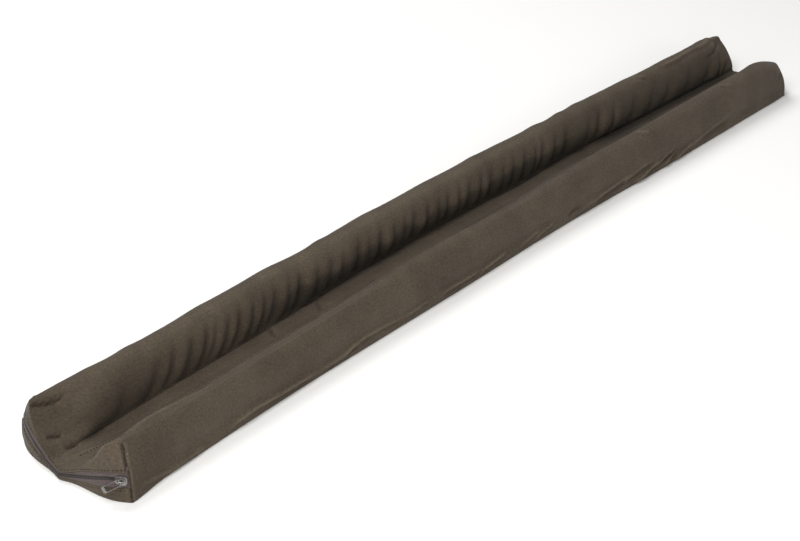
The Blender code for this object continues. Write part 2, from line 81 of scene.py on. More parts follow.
Row = namedtuple("Row", "name y z near_y near_z far_y far_z front_y front_z run lean")
SECTION = tuple(Row(*row) for row in (
    ("foot", 54.5, 0.0, 58.0, 0.0, 53.5, 0.0, 53.5, 0.0, 36, 0.0),
    ("crease", 55.2, 5.5, 56.8, 9.6, 52.9, 7.0, 53.2, 6.5, 36, 0.0),
    ("tuck", 53.6, 9.5, 56.6, 10.4, 52.0, 13.0, 52.6, 12.0, 36, 0.0),
    ("side", 53.8, 18.0, 53.6, 21.0, 50.6, 19.5, 51.6, 17.5, 36, 0.1),
    ("haunch", 51.8, 26.5, 53.2, 21.8, 48.6, 26.5, 50.1, 23.0, 36, 0.2),
    ("shoulder", 48.9, 33.2, 49.2, 31.0, 46.0, 33.0, 48.0, 28.0, 36, 0.4),
    ("crest", 45.6, 37.4, 44.6, 39.0, 43.0, 38.6, 44.8, 31.6, 36, 0.6),
    ("crest_roll", 44.0, 38.8, 44.2, 39.3, 42.2, 39.2, 43.6, 32.1, 36, 0.7),
    ("crown", 42.0, 39.8, 42.8, 39.6, 41.0, 39.6, 42.0, 32.4, 38, 0.8),
    ("top", 37.2, 40.5, 38.8, 38.8, 37.4, 39.8, 37.0, 32.0, 42, 0.9),
    ("inner_crest", 32.0, 38.8, 33.8, 32.8, 34.4, 35.4, 31.0, 30.0, 46, 1.0),
    ("inner_shoulder", 26.6, 33.4, 28.8, 25.6, 29.6, 29.2, 24.5, 26.0, 48, 1.0),
    ("inner_side", 22.2, 25.0, 24.0, 20.0, 24.6, 22.0, 19.6, 20.5, 50, 0.8),
    ("belly", 20.2, 15.5, 19.4, 16.0, 20.4, 14.8, 17.8, 14.2, 50, 0.5),
    ("tuck_in", 20.6, 8.4, 14.8, 12.8, 18.4, 9.2, 17.8, 9.0, 50, 0.2),
    ("seam", 22.4, 3.4, 10.0, 10.4, 18.2, 4.6, 18.4, 4.6, 50, 0.0),
    ("web_edge", 17.5, 2.8, 5.0, 9.0, 12.0, 4.2, 12.0, 4.2, 50, 0.0),
    ("web_middle", 0.0, 3.0, 0.0, 8.5, 0.0, 4.2, 0.0, 4.2, 50, 0.0),
))
NAMES = [row.name for row in SECTION]
CREST = NAMES.index("crest")
SEAM = NAMES.index("seam")
MIDDLE = NAMES.index("web_middle")
LAST = 2 * MIDDLE
CHANNEL_ROWS = ("tuck_in", "seam", "web_edge", "web_middle")
ROOF_SHARE = {"top": 1.0, "inner_crest": 1.0, "inner_shoulder": 0.8, "inner_side": 0.4}
REAR_SEAM = ((-395, 18.5), (-340, 19.6), (-270, 19.8), (-176, 22.2), (-124, 24.3), (-18, 24.9),
             (40, 23.0), (90, 19.8), (150, 23.6), (225, 24.0), (289, 20.6), (380, 20.5))
FRONT_TOP = ((-450, 34.0), (-400, 35.0), (-380, 37.4), (-358, 40.4), (-300, 39.8), (-217, 38.8),
             (-180, 36.2), (-135, 33.0), (-84, 33.2), (-34, 35.4), (15, 36.4), (70, 32.2),
             (206, 32.6), (290, 31.2), (351, 30.0), (392, 30.0), (424, 26.4), (450, 26.4))
FRONT_FOOT = ((-420, 54.6), (-380, 53.8), (-277, 53.0), (-140, 54.6), (-60, 55.0), (24, 54.0),
              (114, 54.5), (209, 56.4), (317, 55.8), (400, 54.6))
REAR_CREST = ((-443, 0.6), (-396, -1.8), (-339, -2.2), (-276, -0.4), (-243, 0.2), (-176, -1.6),
              (-138, 0.2), (-62, 1.0), (63, 1.6), (107, 0.8), (152, 0.0), (201, 0.8), (302, 0.0),
              (355, 0.0), (413, 1.6), (450, 0.8))
FRONT_EDGE = ((-450, 3.0), (-372, 4.0), (-341, 7.4), (-300, 6.4), (-257, 4.6), (-229, 3.8),
              (-205, 7.0), (-188, 6.2), (-151, 3.2), (-114, 7.0), (-61, 4.6), (-30, 7.0),
              (52, 8.6), (80, 9.8), (113, 8.8), (150, 6.0), (450, 5.0))
EDGE_TUCK = 3.6
ZIP_LINE = ((-58, 11.2, 17.0, 22.8), (-50, 10.2, 17.2, 22.2), (-44, 9.2, 16.8, 21.2),
            (-38, 8.2, 15.2, 19.8), (-28, 6.2, 12.0, 16.6), (-18, 4.2, 8.8, 12.9),
            (-9, 2.4, 6.2, 9.8), (0, 1.5, 4.8, 7.8), (8, 2.0, 5.1, 8.4), (15, 3.8, 7.2, 11.4),
            (22, 7.4, 11.2, 15.8), (28, 10.4, 14.6, 19.4), (34, 12.8, 17.6, 22.4),
            (40, 15.0, 20.2, 24.8), (46, 16.8, 22.3, 27.0), (52, 17.8, 23.5, 28.4),
            (58, 18.2, 24.0, 29.0))

# The fine mesh: stations along the rolls, and steps between neighbouring rows of half a ring
STATION_STEP = 2.0
NEAR_SEAM = (0.0, 0.5, 1.0, 1.7, 2.6, 3.8, 5.4, 7.2, 9.2)     # distances from an end of its first stations
STEPS = (6, 3, 6, 5, 5, 5, 2, 2, 4, 4, 5, 6, 6, 5, 4, 4, 12)
CREST_STEP = sum(STEPS[:CREST])
ROWS = np.array([k + n / steps for k, steps in enumerate(STEPS + STEPS[::-1]) for n in range(steps)]
                + [LAST])
RING = len(ROWS)
BROWS = slice(CREST_STEP + 1, RING - 1 - CREST_STEP)     # the part of a ring over the end cloth

# Folds that climb a roll's inner side from its seam: x at the seam, half width, depth, reach up the
# side, from 0 at the seam to 1 at the top
REAR_FOLDS = ((-392, 9, 0.9, 0.6), (-362, 9, 1.6, 0.8), (-346, 6, 1.8, 1.0), (-328, 6, 1.5, 0.8),
              (-312, 5, 2.0, 0.9), (-303, 4, 1.6, 1.0), (-289, 5, 1.6, 0.8), (-277, 5, 2.0, 0.9),
              (-262, 4, 1.6, 1.0), (-249, 5, 2.2, 0.8), (-238, 6, 2.4, 1.0), (-222, 5, 1.6, 0.8),
              (-209, 6, 3.0, 1.1), (-188, 5, 1.4, 0.8), (-172, 6, 1.6, 0.9), (-158, 5, 1.3, 0.7),
              (-138, 6, 2.6, 1.0), (-126, 5, 1.6, 0.7), (-110, 6, 2.8, 1.0), (-93, 5, 1.5, 0.8),
              (-80, 4, 1.3, 0.7), (-66, 7, 2.6, 0.9), (-49, 5, 2.2, 1.0), (-34, 5, 1.6, 0.8),
              (-21, 6, 2.6, 0.9), (-6, 4, 1.5, 0.9), (9, 6, 2.2, 1.0), (25, 4, 2.2, 1.2),
              (40, 6, 2.4, 0.9), (58, 5, 1.5, 0.8), (73, 6, 1.8, 0.9), (90, 6, 2.2, 1.0),
              (106, 4, 1.5, 0.9), (118, 6, 2.6, 1.2), (137, 5, 1.6, 0.9), (155, 8, 2.4, 1.0),
              (190, 5, 1.3, 0.8), (208, 6, 3.4, 1.1), (232, 5, 1.8, 0.8), (268, 9, 1.6, 0.8),
              (300, 7, 1.2, 0.7), (330, 9, 1.4, 0.8), (368, 8, 1.2, 0.7), (403, 7, 1.8, 0.9),
              (424, 4, 2.4, 0.9))
FRONT_FOLDS = ((-372, 7, 1.4, 0.6), (-352, 7, 1.8, 0.8), (-328, 6, 1.2, 0.5), (-306, 6, 2.0, 0.8),
               (-262, 8, 1.6, 0.7), (-231, 5, 1.3, 0.5), (-205, 7, 2.2, 0.9), (-150, 7, 2.0, 0.8),
               (-124, 5, 1.2, 0.5), (-98, 7, 2.2, 0.9), (-66, 5, 1.2, 0.5), (-40, 7, 1.8, 0.7),
               (18, 7, 2.2, 0.9), (44, 5, 1.3, 0.5), (72, 7, 1.9, 0.7), (128, 8, 2.2, 0.8),
               (160, 5, 1.2, 0.5), (190, 7, 1.9, 0.7), (248, 8, 1.7, 0.7), (305, 8, 1.9, 0.8),
               (362, 7, 1.6, 0.7), (404, 6, 1.5, 0.6))
FOLD_TILT = 6.0       # how far a fold runs along the roll beyond the lean of the sections
FOLD_ROWS = ((15.0, 0.0), (14.7, 0.2), (14.2, 0.75), (13.6, 1.0), (12.6, 0.95), (12.0, 0.7),
             (11.4, 0.35), (10.8, 0.16), (10.0, 0.08), (9.0, 0.03), (6.0, 0.0))
FOLD_TAPER = 0.30     # how much narrower a fold is at the top than at its seam
FOLD_GAIN = 1.55      # how much deeper the folds are than their table says
FOLD_RIDGE = 0.30     # height of the ridge beside a fold, as a share of its depth

# Swellings and dimples: x, row, half length along x, half width in rows, height
SPOTS = (
    (-410, 26.5, 14, 1.6, 0.9), (-372, 26.5, 10, 1.6, 1.0), (-300, 26.5, 18, 1.6, 0.8),
    (-226, 26.5, 16, 1.6, 0.9), (-166, 26.5, 10, 1.6, 1.2), (-110, 26.5, 20, 1.6, 0.7),
    (-30, 26.5, 20, 1.6, 0.6), (40, 26.5, 12, 1.6, 0.8), (130, 26.5, 12, 1.6, 1.2),
    (168, 26.5, 9, 1.6, 1.2), (196, 26.5, 10, 1.6, 0.8), (280, 26.5, 22, 1.6, 0.7),
    (350, 26.5, 20, 1.6, 0.6), (424, 26.5, 11, 1.6, 1.2), (-218, 4.8, 5, 0.8, -0.7),
    (-222, 1.6, 8, 0.7, -1.0), (236, 20.8, 12, 1.2, 1.2), (176, 21.0, 7, 0.9, 1.0),
    (418, 20.6, 7, 1.2, 1.1), (-447, 7.8, 6, 1.4, 2.6), (-431, 22.6, 8, 1.0, -1.6),
    (-444, 19.3, 4, 0.8, -1.5), (-438, 20.3, 3, 0.5, 0.8), (386, 4.3, 9, 0.8, -0.9),
    (286, 24.0, 5, 0.5, 0.9), (-421, 19.6, 9, 1.1, 2.6), (-404, 20.2, 12, 0.9, 1.2),
)

# Creases in the cloth: width, height of the ridge or, below zero, depth of the crease, share of
# that height sunk beside it on the right of its path, and its path as x, row
Crease = namedtuple("Crease", "width height beside path")
CREASES = tuple(Crease(*crease) for crease in (
    (1.5, 0.5, 0.5, ((-446, 1.0), (-410, 1.0), (-372, 1.0))),
    (1.4, 1.0, 0.6, ((-356, 1.2), (-322, 1.25), (-300, 1.1), (-278, 1.2), (-252, 1.35))),
    (1.5, 0.8, 0.7, ((-262, 1.2), (-232, 1.5), (-205, 1.9), (-184, 2.0), (-150, 2.0))),
    (1.3, 0.7, 0.6, ((-160, 1.8), (-143, 1.9), (-126, 1.9))),
    (1.4, 1.0, 0.7, ((-117, 1.1), (-104, 1.4), (-84, 1.6), (-60, 1.8))),
    (1.4, 1.0, 0.7, ((-62, 1.3), (-46, 1.5), (-24, 1.7))),
    (1.2, 0.7, 0.5, ((-10, 0.9), (2, 1.2), (24, 1.7))),
    (1.2, 0.8, 0.6, ((14, 0.6), (28, 1.0), (44, 1.4))),
    (1.3, -0.8, 0.0, ((62, 0.8), (72, 1.1), (84, 1.1))),
    (1.3, 0.7, 0.5, ((78, 0.5), (92, 0.8), (108, 0.9))),
    (1.5, 1.1, 0.7, ((100, 0.6), (114, 1.2), (130, 1.8), (150, 2.2), (168, 2.5))),
    (1.4, 0.9, 0.7, ((148, 1.4), (162, 2.1), (178, 2.5), (198, 2.7))),
    (1.4, 1.3, 0.7, ((164, 0.3), (178, 0.8), (190, 1.4), (200, 2.0), (210, 2.3))),
    (1.4, 1.0, 0.7, ((194, 1.3), (208, 1.8), (222, 2.4), (236, 2.8))),
    (1.3, 1.2, 0.7, ((212, 0.6), (222, 1.2), (230, 1.9), (236, 2.4))),
    (1.3, 1.0, 0.6, ((230, 0.3), (242, 0.9), (254, 1.4), (264, 1.8))),
    (1.9, 0.8, 0.5, ((252, 1.3), (276, 2.0), (300, 2.4), (334, 2.8))),
    (1.2, 0.8, 0.6, ((-231, 0.8), (-222, 1.4), (-214, 2.0))),
    (2.0, 0.5, 0.3, ((-440, 8.8), (-410, 8.9), (-374, 9.0), (-330, 9.3))),
    (1.3, -1.5, 0.0, ((-450, 25.0), (-446, 24.8), (-440, 24.4), (-435, 24.1), (-427, 23.7))),
    (1.1, -1.0, 0.0, ((-444, 21.8), (-440, 21.4), (-435, 20.9))),
    (1.1, -0.8, 0.0, ((-438, 19.4), (-434, 19.2), (-428, 18.8))),
    (1.0, 0.9, 0.5, ((-446, 8.6), (-449, 9.4), (-448, 10.5), (-445, 11.6), (-442, 13.2),
                     (-436, 15.5))),
    (1.6, -0.8, 0.0, ((-242, 17.4), (-239, 17.9), (-235, 18.6))),
    (1.6, -0.6, 0.0, ((-192, 17.3), (-186, 17.8), (-182, 18.6))),
    (1.8, 0.7, 0.6, ((189, 8.8), (198, 7.4), (204, 6.4))),
    (1.8, 0.5, 0.5, ((334, 9.0), (342, 8.2), (350, 7.2))),
    (2.2, 0.8, 0.4, ((320, 24.6), (352, 24.4), (384, 24.8), (424, 25.6), (446, 25.2))),
    (1.6, -0.7, 0.0, ((396, 22.6), (420, 23.2), (446, 24.2))),
    (1.8, -0.9, 0.0, ((431, 19.2), (436, 20.4), (444, 21.4))),
    (1.8, 0.7, 0.4, ((283, 25.2), (291, 24.6), (300, 24.0))),
    (2.2, 0.7, 0.5, ((434, 4.2), (442, 4.8), (449, 5.6))),
))

# Unevenness of the cloth: wavelength, height
RIPPLES = ((70.0, 0.45), (34.0, 0.34), (15.0, 0.16))
CREASE_GAIN = 2.0
# Painted light and shade of the channel, darker below 0 and lighter above: rows from and to, their
# softness, how far their end wanders, x from and to, its softness, and strength. First painted shade in
# the folds behind the middle and on the far web, then painted light over the folds and on the web.
CHANNEL_LIGHT_AND_SHADE = ((19.45, 21.6, 0.14, 0.6, -235.0, 185.0, 18.0, -1.25),
                (17.85, 19.6, 0.07, 0.0, 222.0, 436.0, 8.0, -1.25),
                (22.5, 25.0, 0.2, 0.0, -380.0, 120.0, 30.0, 0.35),
                (17.5, 18.8, 0.12, 0.0, -440.0, 190.0, 12.0, 0.35))
CHANNEL_WANDER = 22.0         # wavelength of that wandering
EDGE_LINE = (9.6, -190.0, 110.0, 12.5)   # line behind the front roll's top, a groove with painted shadow: row, x from and to, softness
EDGE_SHADOW, EDGE_DEPTH = (1.2, 0.55), (0.8, 0.5)     # darkness of its painted shadow and depth of its groove, each with half width
SEAM_PINCH = (1.1, 0.9)      # depth and half width of the valley along a roll's seam
BAND = (1.4, 3.6, 0.55)      # first and last y of the joined edges along the web, and their height
CORNER_PINCH = 0.9

# Thread: stitch length, pitch, thickness
TOP_STITCH = (2.2, 3.0, 0.5)
SEAM_STITCH = (2.0, 3.0, 0.36)
CORNER_STITCH = (2.6, 3.3, 0.75)
STITCH_UNEVEN = 0.06  # how far a stitch is off its place, as a share of the pitch
LIP_FULL = 0.5        # how far a turned cloth edge stands proud
HEM = 1.2             # distance from the turned edge to its stitching
HEM_SINK = 0.3

# Zip: sizes of the tapes and teeth
TAPE_HIDDEN = 3.4     # width of tape sewn under the turned cloth
TAPE_FRONT = 0.42     # depth of the tape's face in the slot
TAPE_BACK = 0.55      # thickness of the tape
TEETH_HALF = 0.95     # from the middle of the teeth to the tape's edge
TOOTH_PITCH = 1.15
TOOTH = (1.75, 0.72, 0.62)    # length across the zip, width along it, thickness
TOOTH_SHIFT = 0.42            # how far the teeth of one side reach past the middle

# Camera that matches the photograph, in metres and degrees
VIEW = (-48.75, 30.4)
VIEW_DISTANCE = 1.291
VIEW_TARGET = (-0.0965, 0.0071, 0.0)
VIEW_LENS = 68.6

# Soft lamps: name, place and size in metres, power in watts; and the strength of the white sky
LAMPS = (("over_zip_end", (-1.6, -0.2, 2.0), 1.4, 38.0), ("behind", (0.1, 1.4, 2.2), 1.4, 38.0),
         ("front_left", (-2.0, -1.6, 1.1), 1.2, 24.0), ("front", (-0.6, -2.6, 1.0), 1.2, 13.0))
SKY = 0.16
LAMP_TARGET = (-0.1, 0.0, 0.0)
LAMP_COLOUR = (1.0, 0.99, 0.97)
FLOOR_HALF, FLOOR_LEVEL, FLOOR_COLOUR = 4.0, -0.0004, (0.93, 0.93, 0.925, 1.0)


def ease(t):
    """0 to 1 with a soft start and end."""
    t = min(max(float(t), 0.0), 1.0)
    return t * t * (3.0 - 2.0 * t)


def along(table, x, column=1):
    """Value of a table's column at x, on a smooth curve through its rows."""
    last = len(table) - 1
    if x <= table[0][0]:
        return table[0][column]
    if x >= table[last][0]:
        return table[last][column]
    n = next(i for i in range(last) if x <= table[i + 1][0])
    span = table[n + 1][0] - table[n][0]

    def slope(i):
        low, high = table[max(i - 1, 0)], table[min(i + 1, last)]
        return (high[column] - low[column]) / (high[0] - low[0]) * span

    t = (x - table[n][0]) / span
    start, rise = table[n][column], table[n + 1][column] - table[n][column]
    return (start + slope(n) * t * (1 - t) ** 2 + slope(n + 1) * t * t * (t - 1)
            + rise * t * t * (3 - 2 * t))


def bow_at(x):
    return BOW * (1.0 - (2.0 * x / LENGTH) ** 2) - BOW / 2


def placed(points):
    """Points of the section's frame in the part's frame, in metres."""
    points = np.array(points, dtype=float)
    points[..., 1] += bow_at(points[..., 0])
    return points * MM


def front_row(name, x, y, z):
    if name in ROOF_SHARE:
        roof = CREST_HEIGHT - 1.0 - SIGHT_SLOPE * (along(FRONT_TOP, x) - y)
        z += (min(roof, ROOF_LIMIT) - z) * ROOF_SHARE[name]
    if name == "crown":
        z -= CROWN_SINK * max(along(FRONT_TOP, x) - USUAL_TOP, 0.0)
    if name in ("crease", "tuck"):
        z = along(FRONT_EDGE, x) + (EDGE_TUCK if name == "tuck" else 0.0)
    if name in ("foot", "crease", "tuck", "side"):
        y += along(FRONT_FOOT, x) - SECTION[0].y
    return y, z


def rear_row(name, x, y, z):
    seam = along(REAR_SEAM, x)
    if name == "seam":
        y = seam
    if name == "tuck_in":
        y += 0.5 * (seam - y)
    if name in ("shoulder", "crest", "crest_roll", "crown"):
        y += along(REAR_CREST, x)
    return y, z


def half_section(x, side):
    """The half section at x as (x, y, z) from the foot to the web; side is 1 at the rear roll."""
    points = []
    for row in SECTION:
        start, run = (CHANNEL_START, CHANNEL_RUN) if row.name in CHANNEL_ROWS else (0.0, row.run)
        to_near = 1.0 - ease((x + LENGTH / 2 - start) / run)
        if side < 0:
            y, z = front_row(row.name, x, row.y, row.z)
            far_y, far_z = row.front_y, row.front_z
            to_far = max(1.0 - (LENGTH / 2 - x) / row.run, 0.0) ** 2
            shift = 0.0
        else:
            y, z = rear_row(row.name, x, row.y, row.z)
            far_y, far_z = row.far_y, row.far_z
            to_far = 1.0 - ease((LENGTH / 2 - x) / row.run)
            shift = row.lean * FOLD_LEAN * ease(1.2 * (1.0 - max(to_near, to_far)))
        middle = 1.0 - max(to_near, to_far)
        points.append((x + shift, y * middle + row.near_y * to_near + far_y * to_far,
                       z * middle + row.near_z * to_near + far_z * to_far))
    return points


def across_end(pair, y):
    return pair[0] + (pair[1] - pair[0]) * ease((y + END_MIDDLE) / (2 * END_MIDDLE))


def end_x(end, y, z):
    """Where the end cloth lies, by its distance from the middle at the floor and its height."""
    across = min(abs(y) / CORNERS[end][0], 1.0)
    bulge = END_BULGE * (1.0 - across ** 4) + END_POINT * math.exp(-(abs(y) / END_POINT_HALF) ** 1.3)
    lean = across_end(END_LEAN[end], y) * (max(z, 0.0) / CREST_HEIGHT) ** 1.3
    return end * (LENGTH / 2 - CORNER_SETBACK + across_end(END_REACH[end], y) + bulge - lean)


def foot_y(end, y):
    """Where the line down the end cloth from y on the brow meets the floor."""
    floor, crest = CORNERS[end]
    return y * (1.0 + (floor / crest - 1.0) * min(abs(y) / crest, 1.0) ** 2)


def on_end(end, brow, level, depth=0.0):
    """A point of the end cloth at a level under a brow point, sunk in by depth."""
    t = level / brow[2]
    floor_y = foot_y(end, brow[1])
    swell = math.sin(math.pi * min(t, 1.0))
    belly = CORNER_BELLY * swell * (brow[1] / CORNERS[end][1]) ** 3
    x = end_x(end, floor_y, level) + end * (END_PUFF * swell - depth)
    return x, floor_y + (brow[1] - floor_y) * t + belly, level


def control_ring(x):
    """The top outline at x from the front foot to the rear foot, with its end curved in plan."""
    ring = [(px, -y, z) for px, y, z in half_section(x, -1)] + half_section(x, 1)[-2::-1]
    end = 1 if x > 0 else -1
    fade = 1.0 - ease((LENGTH / 2 - abs(x)) / END_RUN)
    if fade > 0.0:
        for k, (px, y, z) in enumerate(ring):
            on_corner = k <= CREST or k >= LAST - CREST
            floor_y = math.copysign(CORNERS[end][0], y) if on_corner else foot_y(end, y)
            ring[k] = (px + (end_x(end, floor_y, z) - end * LENGTH / 2) * fade, y, z)
    return ring


def smooth_rings(rings):
    """The fine rings on smooth curves through the rows."""
    gaps = np.linalg.norm(np.diff(rings, axis=1), axis=2)[..., None]
    slopes = np.diff(rings, axis=1) / gaps
    inner = slopes[:, :-1] * gaps[:, 1:] + slopes[:, 1:] * gaps[:, :-1]
    inner = inner / (gaps[:, :-1] + gaps[:, 1:])
    tangents = np.concatenate((slopes[:, :1], inner, slopes[:, -1:]), axis=1)
    row = np.minimum(ROWS.astype(int), LAST - 1)
    t = (ROWS - row)[None, :, None]
    start, end, span = rings[:, row], rings[:, row + 1], gaps[:, row]
    return (start * (1 + 2 * t) * (1 - t) ** 2 + end * t * t * (3 - 2 * t)
            + span * (tangents[:, row] * t * (1 - t) ** 2 + tangents[:, row + 1] * t * t * (t - 1)))


def zip_heights(brow):
    """Lower cloth edge, teeth and upper cloth edge on the line under a brow point."""
    low, teeth, high = (along(ZIP_LINE, foot_y(-1, brow[1]), column) for column in (1, 2, 3))
    return low, teeth, min(high, brow[2] - TOP_CLOTH)


def near_levels(brow):
    """Heights and depths down the zip end, with both turned edges rolled into the slot."""
    low, teeth, high = zip_heights(brow)
    turn = [np.linspace(0.0, math.pi / 2, steps, endpoint=False) for steps in (STEPS[1], STEPS[3])]
    middle = (high + brow[2]) / 2
    levels = np.concatenate((
        np.linspace(0.0, low, STEPS[0], endpoint=False), low + LIP * np.sin(turn[0]),
        np.linspace(low + LIP, high - LIP, STEPS[2], endpoint=False), high - LIP * np.cos(turn[1]),
        np.linspace(high, middle, STEPS[4], endpoint=False),
        np.linspace(middle, brow[2], STEPS[5], endpoint=False)))
    flat = np.zeros(STEPS[0]), np.full(STEPS[2], RECESS), np.zeros(STEPS[4] + STEPS[5])
    depths = np.concatenate((flat[0], RECESS * (1 - np.cos(turn[0])), flat[1],
                             RECESS * (1 - np.sin(turn[1])), flat[2]))
    full = np.exp(-((levels - low + 0.9) / 1.3) ** 2) + np.exp(-((levels - high - 0.9) / 1.3) ** 2)
    hem = np.exp(-((levels - high - HEM) / 0.6) ** 2) + np.exp(-((levels - low + HEM) / 0.6) ** 2)
    room = min(max((brow[2] - high) / 6.0, 0.0), 1.0)
    return levels, depths + (HEM_SINK * hem * room - LIP_FULL * full) * (1.0 - depths / RECESS)


def far_levels(brow):
    levels = brow[2] * ROWS[:CREST_STEP] / CREST
    return levels, np.zeros(len(levels))


def end_columns(end, ring):
    """Points down the end cloth under each brow point of a fine ring: columns, levels, xyz."""
    columns = []
    for brow in ring[BROWS]:
        levels, depths = (far_levels if end > 0 else near_levels)(brow)
        off = brow[0] - on_end(end, brow, brow[2])[0]
        column = [on_end(end, brow, level, depth) for level, depth in zip(levels, depths)]
        columns.append([(x + off * z / brow[2], y, z) for x, y, z in column])
    return np.array(columns)


def hump(t):
    return np.exp(-t * t)


def fold_field(x, rows, folds):
    """Folds on a roll's inner side; rows are counted from that roll's foot."""
    share_rows, shares = zip(*sorted(FOLD_ROWS))
    share = np.interp(rows, share_rows, shares)
    rise = (SEAM - rows) / (SEAM - 9.0)
    total = np.zeros_like(rows)
    for spot, width, depth, reach in folds:
        d = x - spot - FOLD_TILT * rise
        narrow = width * (1.15 - FOLD_TAPER * np.clip(rise / reach, 0.0, 1.0))
        side = np.where(d < 0, 0.6, 1.0) * narrow
        fade = 1.0 / (1.0 + np.exp(7.0 * (rise - reach)))
        ridge = FOLD_RIDGE * hump((d - 1.7 * narrow) / narrow)
        total += FOLD_GAIN * depth * share * fade * (ridge - hump(d / side))
    return total


def between(x, low, high, soft):
    """1 between two places, with soft sides."""
    return 1.0 / (1.0 + np.exp((low - x) / soft)) / (1.0 + np.exp((x - high) / soft))


def channel_shade(x, rows):
    """Painted light and shade of the channel: painted shade in the deep folds and on the far web, painted
    light over the folds and on the web.
    """
    uneven = np.array([noise.noise((place / CHANNEL_WANDER, 3.0, 0.0)) for place in x[:, 0]])[:, None]
    total = 0.0
    for low, high, soft, wander, start, end, fade, strength in CHANNEL_LIGHT_AND_SHADE:
        at_rows = between(rows, low, high + wander * uneven, soft)
        total = total + strength * at_rows * between(x, start, end, fade)
    return total


def crease_field(x, run, grid_rows):
    """Creases along their paths, by the distance from them on the cloth; run is the length round
    the ring at each point."""
    stations = x[:, 0]
    total, painted_shading = np.zeros_like(run), np.zeros_like(run)
    for crease in CREASES:
        path = []
        for px, row in crease.path:
            station = int(np.argmin(abs(stations - px)))
            path.append((px, float(np.interp(row, grid_rows, run[station]))))
        reach = 4.0 * crease.width
        use = ((x > min(p[0] for p in path) - reach) & (x < max(p[0] for p in path) + reach)
               & (run > min(p[1] for p in path) - reach) & (run < max(p[1] for p in path) + reach))
        px, pv = x[use], run[use]
        best = np.full(px.shape, 1e9)
        signed, place = np.zeros(px.shape), np.zeros(px.shape)
        lengths = [math.dist(a, b) for a, b in zip(path, path[1:])]
        for n, (a, b) in enumerate(zip(path, path[1:])):
            dx, dv = b[0] - a[0], b[1] - a[1]
            t = np.clip(((px - a[0]) * dx + (pv - a[1]) * dv) / (dx * dx + dv * dv), 0.0, 1.0)
            off_x, off_v = px - a[0] - t * dx, pv - a[1] - t * dv
            far = np.hypot(off_x, off_v)
            nearer = far < best
            best = np.where(nearer, far, best)
            signed = np.where(nearer, np.copysign(far, off_x * dv - off_v * dx), signed)
            place = np.where(nearer, (sum(lengths[:n]) + t * lengths[n]) / sum(lengths), place)
        fade = np.clip(np.minimum(place, 1.0 - place) * 5.0, 0.0, 1.0)
        fade = fade * fade * (3.0 - 2.0 * fade)
        ridge = hump(best / crease.width)
        # Painted highlight along a raised crease and painted shade along a sunk one
        painted_shading[use] += np.clip(crease.height, -1.0, 1.0) * fade * hump(best / (0.8 * crease.width))
        ridge = ridge - crease.beside * hump((signed - 1.9 * crease.width) / (1.3 * crease.width))
        total[use] += crease.height * fade * ridge
    return total, painted_shading


def ripple(points):
    """Gentle unevenness of filled cloth at points in millimetres."""
    total = np.zeros(len(points))
    for number, (wave, high) in enumerate(RIPPLES):
        shift = 31.7 * number
        total += high * np.array([noise.noise((x / wave / 1.6 + shift, y / wave, z / wave))
                                  for x, y, z in points.tolist()])
    return total


def corner_relief(gap):
    """Relief and painted light and shade by the distance from a corner seam: a groove with painted shade
    and a soft ridge beside it with painted highlight.
    """
    relief = CORNER_PINCH * (0.6 * hump((gap - 2.4) / 1.5) - hump(gap / 0.7))
    return relief, 0.3 * hump((gap - 1.8) / 0.9) - hump(gap / 0.6)


def grid_relief(x, run):
    """Relief and painted light and shade over the rolls and the web, for each point of the grid."""
    rows = np.broadcast_to(ROWS, x.shape)
    relief = fold_field(x, np.where(rows > MIDDLE, LAST - rows, 99.0), REAR_FOLDS)
    relief += fold_field(x, np.where(rows < MIDDLE, rows, 99.0), FRONT_FOLDS)
    calm = np.clip((LENGTH / 2 - abs(x)) / 30.0, 0.0, 1.0)
    relief *= calm
    for spot, row, long, wide, high in SPOTS:
        relief += high * hump((x - spot) / long) * hump((rows - row) / wide)
    creased, painted_shading = crease_field(x, run, ROWS)
    relief += CREASE_GAIN * creased
    for row in (SEAM, LAST - SEAM):
        at = run[:, list(ROWS).index(row)][:, None]
        roll = (run - at) * (1.0 if row > MIDDLE else -1.0)
        pinch = np.where(roll > 0.0, np.exp(-roll / SEAM_PINCH[1]), np.exp(roll / 0.35)) * calm
        relief -= SEAM_PINCH[0] * pinch
        # Painted shade along the valley of each seam
        painted_shading -= 0.7 * pinch
    first, last, high = BAND
    centre = run[:, list(ROWS).index(MIDDLE)][:, None]
    out = run - centre
    relief += high / (1.0 + np.exp(-(out - first) / 0.25)) / (1.0 + np.exp((out - last) / 0.35)) * calm
    # Painted highlight along both joined edges of the band, painted shade just behind its rear edge
    for edge in (first, last):
        painted_shading += 0.5 * hump((out - edge) / 0.8) * calm
    painted_shading -= 0.5 * hump((out - last - 1.6) / 1.0) * calm
    # Painted shade and painted light in the channel
    painted_shading += channel_shade(x, rows)
    row, start, end, soft = EDGE_LINE
    behind = between(x, start, end, soft)
    # Painted shadow along the front roll's edge line, over a shallow groove
    painted_shading -= EDGE_SHADOW[0] * behind * hump((rows - row) / EDGE_SHADOW[1])
    relief -= EDGE_DEPTH[0] * behind * hump((rows - row) / EDGE_DEPTH[1])
    corner = np.minimum(LENGTH / 2 - abs(x), 40.0)
    side = np.clip((CREST + 0.6 - np.minimum(rows, LAST - rows)) / 0.6, 0.0, 1.0)
    # Groove and ridge at the corner seams, with painted shade in the groove and painted highlight on the
    # ridge
    for total, share in zip((relief, painted_shading), corner_relief(corner)):
        total += side * share
    return relief, painted_shading


